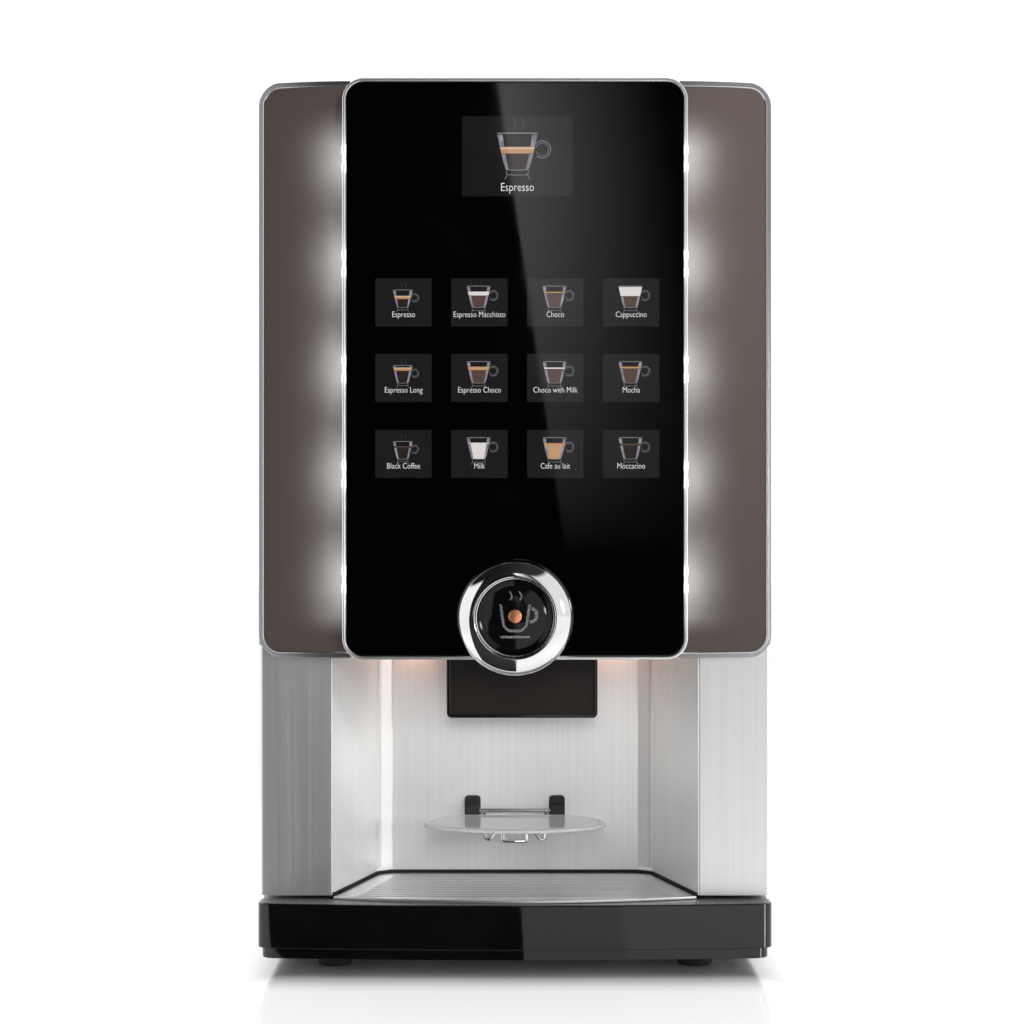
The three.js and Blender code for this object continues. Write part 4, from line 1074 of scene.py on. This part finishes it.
def drawer_band():
    """The bowed front of the drawer with its lip, and the ledge on its top, where the band's black gloss is
    painted grey as a painted reflection.
    """
    low, high, rear = BAND_LOW.z, BAND_HIGH.z, BAND_HIGH.y
    opening = NICHE_HALF_FRONT - 4.6
    face = [(3.0, low + 0.4), (3.0, low + 8.4), (0.5, low + 8.5), (0.0, low + 9.1), (0.0, high - 1.3)]
    face += [(0.35, high - 0.4), (1.3, high), (1.8, high - 0.1)]
    under = [(4.0, high - 4), (4.0, low), (3.4, low)]
    paths = {inset: band_path(inset) for inset, _ in face + under}
    loops = []
    ledge = []
    for k, (u, v) in enumerate(paths[4.0]):
        if abs(u) < opening:
            inner = (u, tray_front(u, opening, 3.4))
        else:
            inner = (math.copysign(max(opening, abs(u) - 1.0), u), min(v + 30, rear))
        loop = [(*paths[inset][k], z) for inset, z in face]
        loop += [(*inner, high - 0.1), (*inner, high - 4)]
        loop += [(*paths[inset][k], z) for inset, z in under]
        loops.append(loop)
        edge = paths[1.8][k]
        ledge.append([(*edge, high - 0.3), (*edge, high), (*inner, high), (*inner, high - 0.3)])
    Build().loft(loops).make("drawer_band", GLOSS, "drip_drawer", ["drip_drawer_front"], level=True)
    Build().loft(ledge).make("drawer_ledge", LEDGE_PAINTED_REFLECTION, "drip_drawer")


def grille_plan():
    half = NICHE_HALF_FRONT - 1.3
    rear_half = NICHE_HALF_REAR - 1.5
    rear = NICHE_BACK - 2
    run = [-half + 2 * half * k / 48 for k in range(49)]
    canted = [(rear_half, rear - NICHE_DEEP), (rear_half - NICHE_ACROSS, rear)]
    return [(u, tray_front(u, half, 0)) for u in run] + canted + [(-u, v) for u, v in canted[::-1]]


def drip_grille():
    count, pitch, width, first, margin = 14, 8, 3.2, 12, 19
    slots = []
    for i in range(count):
        y = NICHE_BACK - first - i * pitch
        along = (NICHE_BACK - y) / (NICHE_BACK - COLUMN_FRONT)
        half = NICHE_HALF_REAR - margin + along * (NICHE_HALF_FRONT - NICHE_HALF_REAR)
        slots.append(rounded_rect(-half, half, y - width, y, width / 2 - 0.05, 6))
    build = Build().slab([grille_plan(), *slots], upright, GRILLE_LOW.z, GRILLE_HIGH.z, 0.5)
    build.make("steel_grille", STEEL_LEVEL, "grille", ["drip_grille"], level=True)


def feet():
    for row in ("front", "rear"):
        for name in ("left", "right"):
            node = f"foot_{row}_{name}"
            low, high = span(node)
            middle = (low + high) / 2
            top = high.z
            profile = [(0.5, 0), (13.0, 0), (14.5, 2.5), (13.2, 12.0), (9.5, 13.0), (9.5, 14.0)]
            profile += [(8.0, 14.2), (8.0, top), (0.5, top)]
            build = Build().turned(filleted(profile, 0.8, 3), upright, (middle.x, middle.y), 56)
            build.make(f"rubber_{node}", RUBBER, "cabinet", [node])


drawer_band()
drip_grille()
feet()

# ---------- rear fittings ----------


def screw(build, u, v, seat, height=1.8, radius=3.6):
    """Round head with a round socket, seated on a plane that faces the rear."""
    head = [(1, -0.4), (1, 0.4 * height), (0.75, 0.9 * height), (0.5, height), (0.5, 0.35 * height)]
    head = [(radius * r, seat + w) for r, w in head]
    build.turned([*head, (0.1, seat + 0.3 * height)], frontal, (u, v), 24)


def rear_screws():
    build = Build()
    for side in (-1, 1):
        for z in (80, 235, 390, 545, 690):
            screw(build, side * 198, z, FLANGE)
    build.make("case_screws", CHROME, "cabinet")
    cover = Build()
    for u in (-188, 176):
        for z in (275, 480, 688):
            screw(cover, u, z, DOOR_SHEET, 1.0, 3.0)
    cover.make("cover_screws", CHROME, "door")


def louvre_hoods():
    """Pressed hoods over the rear air slots."""
    count, first, pitch, half, end = 8, 520, 16, 93, 3
    sheet = REAR_SHEET - 0.1
    build = Build()
    for i in range(count):
        z = first + pitch * i
        outer = [(sheet, z + 8.2)] + arc(REAR_SHEET, z + 0.2, 7.2, 85, 12, 8)
        inner = arc(REAR_SHEET, z + 0.2, 6.2, 12, 80, 8) + [(sheet, z + 6.6)]
        loops = []
        for x, squash in ((-half, 0.35), (end - half, 1.0), (half - end, 1.0), (half, 0.35)):
            loops.append([(x, sheet + (y - sheet) * squash, h) for y, h in outer + inner])
        build.loft(loops)
    build.make("louvre_hoods", GRAPHITE, "cabinet")


def water_thread():
    """Pipe thread on the water stub."""
    stub = (-60, 100)
    start, pitch, turns = 251.0, 2.0, 9
    profile = [(13.0, 250.5)]
    for i in range(turns):
        y = start + pitch * i
        profile += [(13.3, y), (14.1, y + 0.9), (14.1, y + 1.1), (13.3, y + pitch)]
    profile += [(12.6, 269.6), (12.6, 250.5)]
    Build().turned(profile, frontal, stub, 56, closed=True).make("water_thread", BRASS, "cabinet")


def inlet_pins():
    """Line, neutral and earth blades in the mains socket."""
    build = Build()
    for u, v in ((106.0, 97.5), (120.0, 97.5), (113.0, 103.5)):
        blade = rounded_rect(u - 1.0, u + 1.0, v - 2.0, v + 2.0, 0.4, 3)
        build.prism(blade, frontal, 241.5, 256.0)
    build.make("inlet_pins", BRASS, "cabinet")


rear_screws()
louvre_hoods()
water_thread()
inlet_pins()

# ---------- beans, powder and augers ----------


def bean(build, centre, turn, size):
    """One roasted bean: a flattened ellipsoid with a groove along its flat side."""
    rings = []
    for k in range(1, 6):
        along = math.cos(math.pi * k / 6)
        girth = math.sin(math.pi * k / 6)
        ring = []
        for j in range(8):
            a = 2 * math.pi * j / 8
            flat = 0.55 if math.sin(a) < -0.5 else 1.0
            groove = 0.55 if j == 6 else 1.0
            height = girth * 2.9 * math.sin(a) * flat * groove
            point = Vector((along * 5.4, girth * 3.7 * math.cos(a), height))
            ring.append(centre + turn @ (point * size))
        rings.append(ring)
    build.loft(rings)


def coffee_beans():
    """A level heap of beans in the hopper."""
    dice = random.Random(7)
    low, high = span("bean_hopper")
    build = Build()
    step, level = 8.4, 655
    columns = int((high.x - low.x - 12) / step)
    rows = int((high.y - low.y - 12) / step)
    for layer in range(2):
        for i in range(columns):
            for j in range(rows):
                x = low.x + 10 + (i + 0.5 * (j % 2)) * step + dice.uniform(-1.5, 1.5)
                y = low.y + 10 + j * step + dice.uniform(-1.5, 1.5)
                if x > high.x - 8:
                    continue
                centre = Vector((x, y, level - 4.5 * layer + dice.uniform(-1.6, 1.6)))
                angles = [dice.uniform(-0.9, 0.9), dice.uniform(-0.9, 0.9), dice.uniform(0, math.pi)]
                bean(build, centre, Euler(angles).to_matrix(), dice.uniform(0.9, 1.1))
    build.make("coffee_beans", BEANS, "cabinet", sharp=60)


def powder_fill():
    """A heaped powder surface in each canister."""
    foot, level, swell, ripple = 600.0, 652, 7, 1.2
    for number, powder in ((1, MILK_POWDER), (2, CHOCO_POWDER)):
        low, high = span(f"powder_canister_{number}")
        x0, x1 = low.x + 2.4, high.x - 2.4
        y0, y1 = -102.6, high.y - 2.4
        loops = []
        for i in range(13):
            x = x0 + (x1 - x0) * i / 12
            crown = [(x, y0, foot)]
            for j in range(21):
                y = y0 + (y1 - y0) * j / 20
                heap = swell * math.sin(math.pi * i / 12) * math.sin(math.pi * j / 20)
                wave = ripple * math.sin(0.21 * x + 1.7 * number) * math.cos(0.17 * y)
                crown.append((x, y, level + heap + wave))
            crown.append((x, y1, foot))
            loops.append(crown)
        Build().loft(loops).make(f"powder_fill_{number}", powder, "cabinet", sharp=60)


def auger_springs():
    """Wire spirals that push the powder, each on its drive dog."""
    turns, steps_per_turn, radius, front, rear, height = 5, 22, 11.5, -111.5, 48.5, 525
    steps = steps_per_turn * turns
    for number, x in ((1, 45), (2, 130)):
        spiral = []
        for i in range(steps + 1):
            a = 2 * math.pi * i / steps_per_turn
            y = front + (rear - front) * i / steps
            spiral.append((x + radius * math.cos(a), y, height + radius * math.sin(a)))
        build = Build().tube(spiral, 2.1, 10)
        dog = [(0.1, 47.0), (13.8, 47.0), (14.4, 47.2), (14.4, 53.6), (13.8, 54.0), (4.0, 54.0)]
        build.turned([*dog, (4.0, 71.4), (3.4, 72.0), (0.1, 72.0)], frontal, (x, height), 40)
        build.make(f"auger_spring_{number}", CHROME, f"auger_drive_{number}", [f"auger_{number}"])


coffee_beans()
powder_fill()
auger_springs()

# ---------- camera and studio ----------

CAMERA_PLACE = (-2.4, -1972.0, 368.8)
CAMERA_LENS = 76.7
SENSOR_WIDTH = 36


def link(name, data, place):
    """A new object in the scene, at a place in millimetres."""
    holder = bpy.data.objects.new(name, data)
    holder.location = Vector(place) * MM
    bpy.context.scene.collection.objects.link(holder)
    return holder


def camera():
    """The camera looks level along +Y, as the photo does."""
    data = bpy.data.cameras.new("camera")
    data.lens = CAMERA_LENS
    data.sensor_width = SENSOR_WIDTH
    holder = link("camera", data, CAMERA_PLACE)
    holder.rotation_euler = (math.pi / 2, 0, 0)
    bpy.context.scene.camera = holder


def world():
    """White behind the machine; in front a room that is dark on the left and above, bright on the right."""
    seen_white, lit_white, dark_left, bright_right = 1.2, 1.4, 0.28, 0.84
    made = bpy.data.worlds.new("room")
    bpy.context.scene.world = made
    made.use_nodes = True
    net = Net(made.node_tree)
    x, y, z = net.axes(net.node("ShaderNodeTexCoord").outputs["Generated"])
    front = net.ramp(x, -0.42, 0.42, dark_left, bright_right) * net.ramp(z - x, 0.15, 0.3, 1.0, 0.04)
    window = net.ramp(x, -0.5, -0.54) * net.ramp(z, 0.6, 0.5) * net.ray("Is Glossy Ray")
    values = {0: net.ramp(y, 0.0, 0.2), 2: front + window, 3: lit_white}
    room = net.node("ShaderNodeMix", values).outputs[0]
    values = {0: net.ray("Is Camera Ray"), 2: room, 3: seen_white}
    background = net.tree.nodes["Background"]
    background.inputs["Color"].default_value = (1, 1, 1, 1)
    net.put(net.node("ShaderNodeMix", values).outputs[0], background.inputs["Strength"])


def stage_piece(name, corners, material):
    mesh = bpy.data.meshes.new(name)
    mesh.from_pydata([Vector(c) * MM for c in corners], [], [tuple(range(len(corners)))])
    mesh.materials.append(material)
    piece = link(name, mesh, (0, 0, 0))
    return piece


def reflected_only(piece):
    piece.visible_camera = False
    piece.visible_diffuse = False
    piece.visible_transmission = False
    piece.visible_shadow = False


def stage_material(name):
    """An empty material, its nodes and its output socket."""
    material = bpy.data.materials.new(name)
    material.use_nodes = True
    material.node_tree.nodes.clear()
    net = Net(material.node_tree)
    return material, net, net.node("ShaderNodeOutputMaterial").inputs["Surface"]


def dark_card():
    """What the glass mirrors: the dark end of the studio. The niche, farther from it, sees past it."""
    between_glass_and_niche = 1.955
    material, net, out = stage_material("dark_card")
    far = net.math("GREATER_THAN", net.ray("Ray Length"), between_glass_and_niche)
    black = net.node("ShaderNodeEmission", {"Strength": 0.0}).outputs[0]
    open_air = net.node("ShaderNodeBsdfTransparent").outputs[0]
    net.put(net.node("ShaderNodeMixShader", {0: far, 1: black, 2: open_air}).outputs[0], out)
    y, half, low, high = -2150, 330, 60, 1250
    corners = [(-half, y, low), (half, y, low), (half, y, high), (-half, y, high)]
    reflected_only(stage_piece("dark_card", corners, material))


def light_card():
    """A slanting lit sheet in front of the dark card: the pale sweep across the glass."""
    reach, foot, climb, brightness = 0.27, 0.30, 0.62, 1.6
    material, net, out = stage_material("light_card")
    top, bottom = Vector((-26, 1052)), Vector((85, 292))
    x, _, z = net.axes(net.node("ShaderNodeTexCoord").outputs["Object"])
    slope = (bottom.x - top.x) / (bottom.y - top.y)
    edge = (z - top.y * MM) * slope + top.x * MM
    fade = net.math("MAXIMUM", 1.0 - (x - edge) / reach, 0.0) ** 1.5
    rise = net.math("MINIMUM", net.math("MAXIMUM", (z - foot) / climb, 0.0), 1.0)
    values = {"Strength": fade * rise * brightness}
    net.put(net.node("ShaderNodeEmission", values).outputs[0], out)
    y, right = -1974, 330
    corners = [(bottom.x, y, bottom.y), (right, y, bottom.y), (right, y, top.y), (top.x, y, top.y)]
    reflected_only(stage_piece("light_card", corners, material))


def floor():
    """Pale satin floor that glows softly except by the machine, so that its shadow stays short."""
    material, net, out = stage_material("pale_floor")
    place = net.node("ShaderNodeTexCoord").outputs["Object"]
    x, y, _ = net.axes(place)
    clear_of = net.math("MAXIMUM", BAND_LOW.y * MM - y, abs(x) - HALF * MM)
    values = {"Base Color": (0.4, 0.4, 0.4, 1), "Roughness": 0.1, "Emission Color": (1, 1, 1, 1)}
    values["Emission Strength"] = net.ramp(clear_of, -0.03, 0.05, 0.0, 0.62)
    satin = net.node("ShaderNodeBsdfPrincipled", values).outputs[0]
    length = net.node("ShaderNodeVectorMath", {0: place}, operation="LENGTH").outputs["Value"]
    white = net.node("ShaderNodeEmission").outputs[0]
    values = {0: net.ramp(length, 0.45, 1.3), 1: satin, 2: white}
    seen = net.node("ShaderNodeMixShader", values).outputs[0]
    dark = net.node("ShaderNodeBsdfDiffuse", {"Color": (0.025, 0.025, 0.025, 1)}).outputs[0]
    values = {0: carpet(net, x, y), 1: seen, 2: dark}
    net.put(net.node("ShaderNodeMixShader", values).outputs[0], out)
    reach = 9000
    corners = [(-reach, -reach, 0), (reach, -reach, 0), (reach, reach, 0), (-reach, reach, 0)]
    stage_piece("floor", corners, material)


def carpet(net, x, y):
    """1 on a wedge of the floor in front, for glossy rays: the dark left halves of the lower reflections."""
    forward = -0.3 - y
    left_edge = forward * -0.65 - 0.2
    wedge = net.math("LESS_THAN", x, 0.008) * net.math("GREATER_THAN", forward, 0.0)
    return wedge * net.math("GREATER_THAN", x, left_edge) * net.ray("Is Glossy Ray")


def light(kind, name, place, target, power, mirrored=False, **settings):
    """A lamp aimed at a target. Only a mirrored one shows in glossy surfaces."""
    data = bpy.data.lights.new(name, kind)
    data.energy = power
    for key, value in settings.items():
        setattr(data, key, value)
    holder = link(name, data, place)
    holder.visible_glossy = mirrored
    holder.rotation_euler = (Vector(target) - Vector(place)).to_track_quat("-Z", "Y").to_euler()


def spot(name, place, target, angle, power, mirrored=False):
    cone = {"spot_size": math.radians(angle), "spot_blend": 1.0, "shadow_soft_size": 0.3}
    light("SPOT", name, place, target, power, mirrored, **cone)


def lights():
    """A spot for each surface that the photo lights, over two soft sheets."""
    warm = (1.0, 0.5, 0.3)
    spot("key_niche", (1500, -1450, 420), (-110, -170, 115), 14, 100, mirrored=True)
    spot("key_wing", (900, -1200, 1500), (195, -235, 720), 20, 420)
    light("AREA", "front_soft", (0, -1900, 700), (0, -150, 160), 11, size=0.5)
    spot("front_niche", (0, -1900, 500), (0, -105, 150), 11, 90)
    for side, name in SIDES:
        place = (side * 84, NICHE_BACK - 16, LINER_HIGH.z - 6)
        light("AREA", "cup_lamp_" + name, place, (side * 84, NICHE_BACK, 215), 0.014, size=0.02, color=warm)
    light("AREA", "top_soft", (0, -200, 1900), (0, 0, 300), 20, size=1.2)


camera()
world()
dark_card()
light_card()
floor()
lights()

bpy.context.scene.view_settings.view_transform = "Standard"
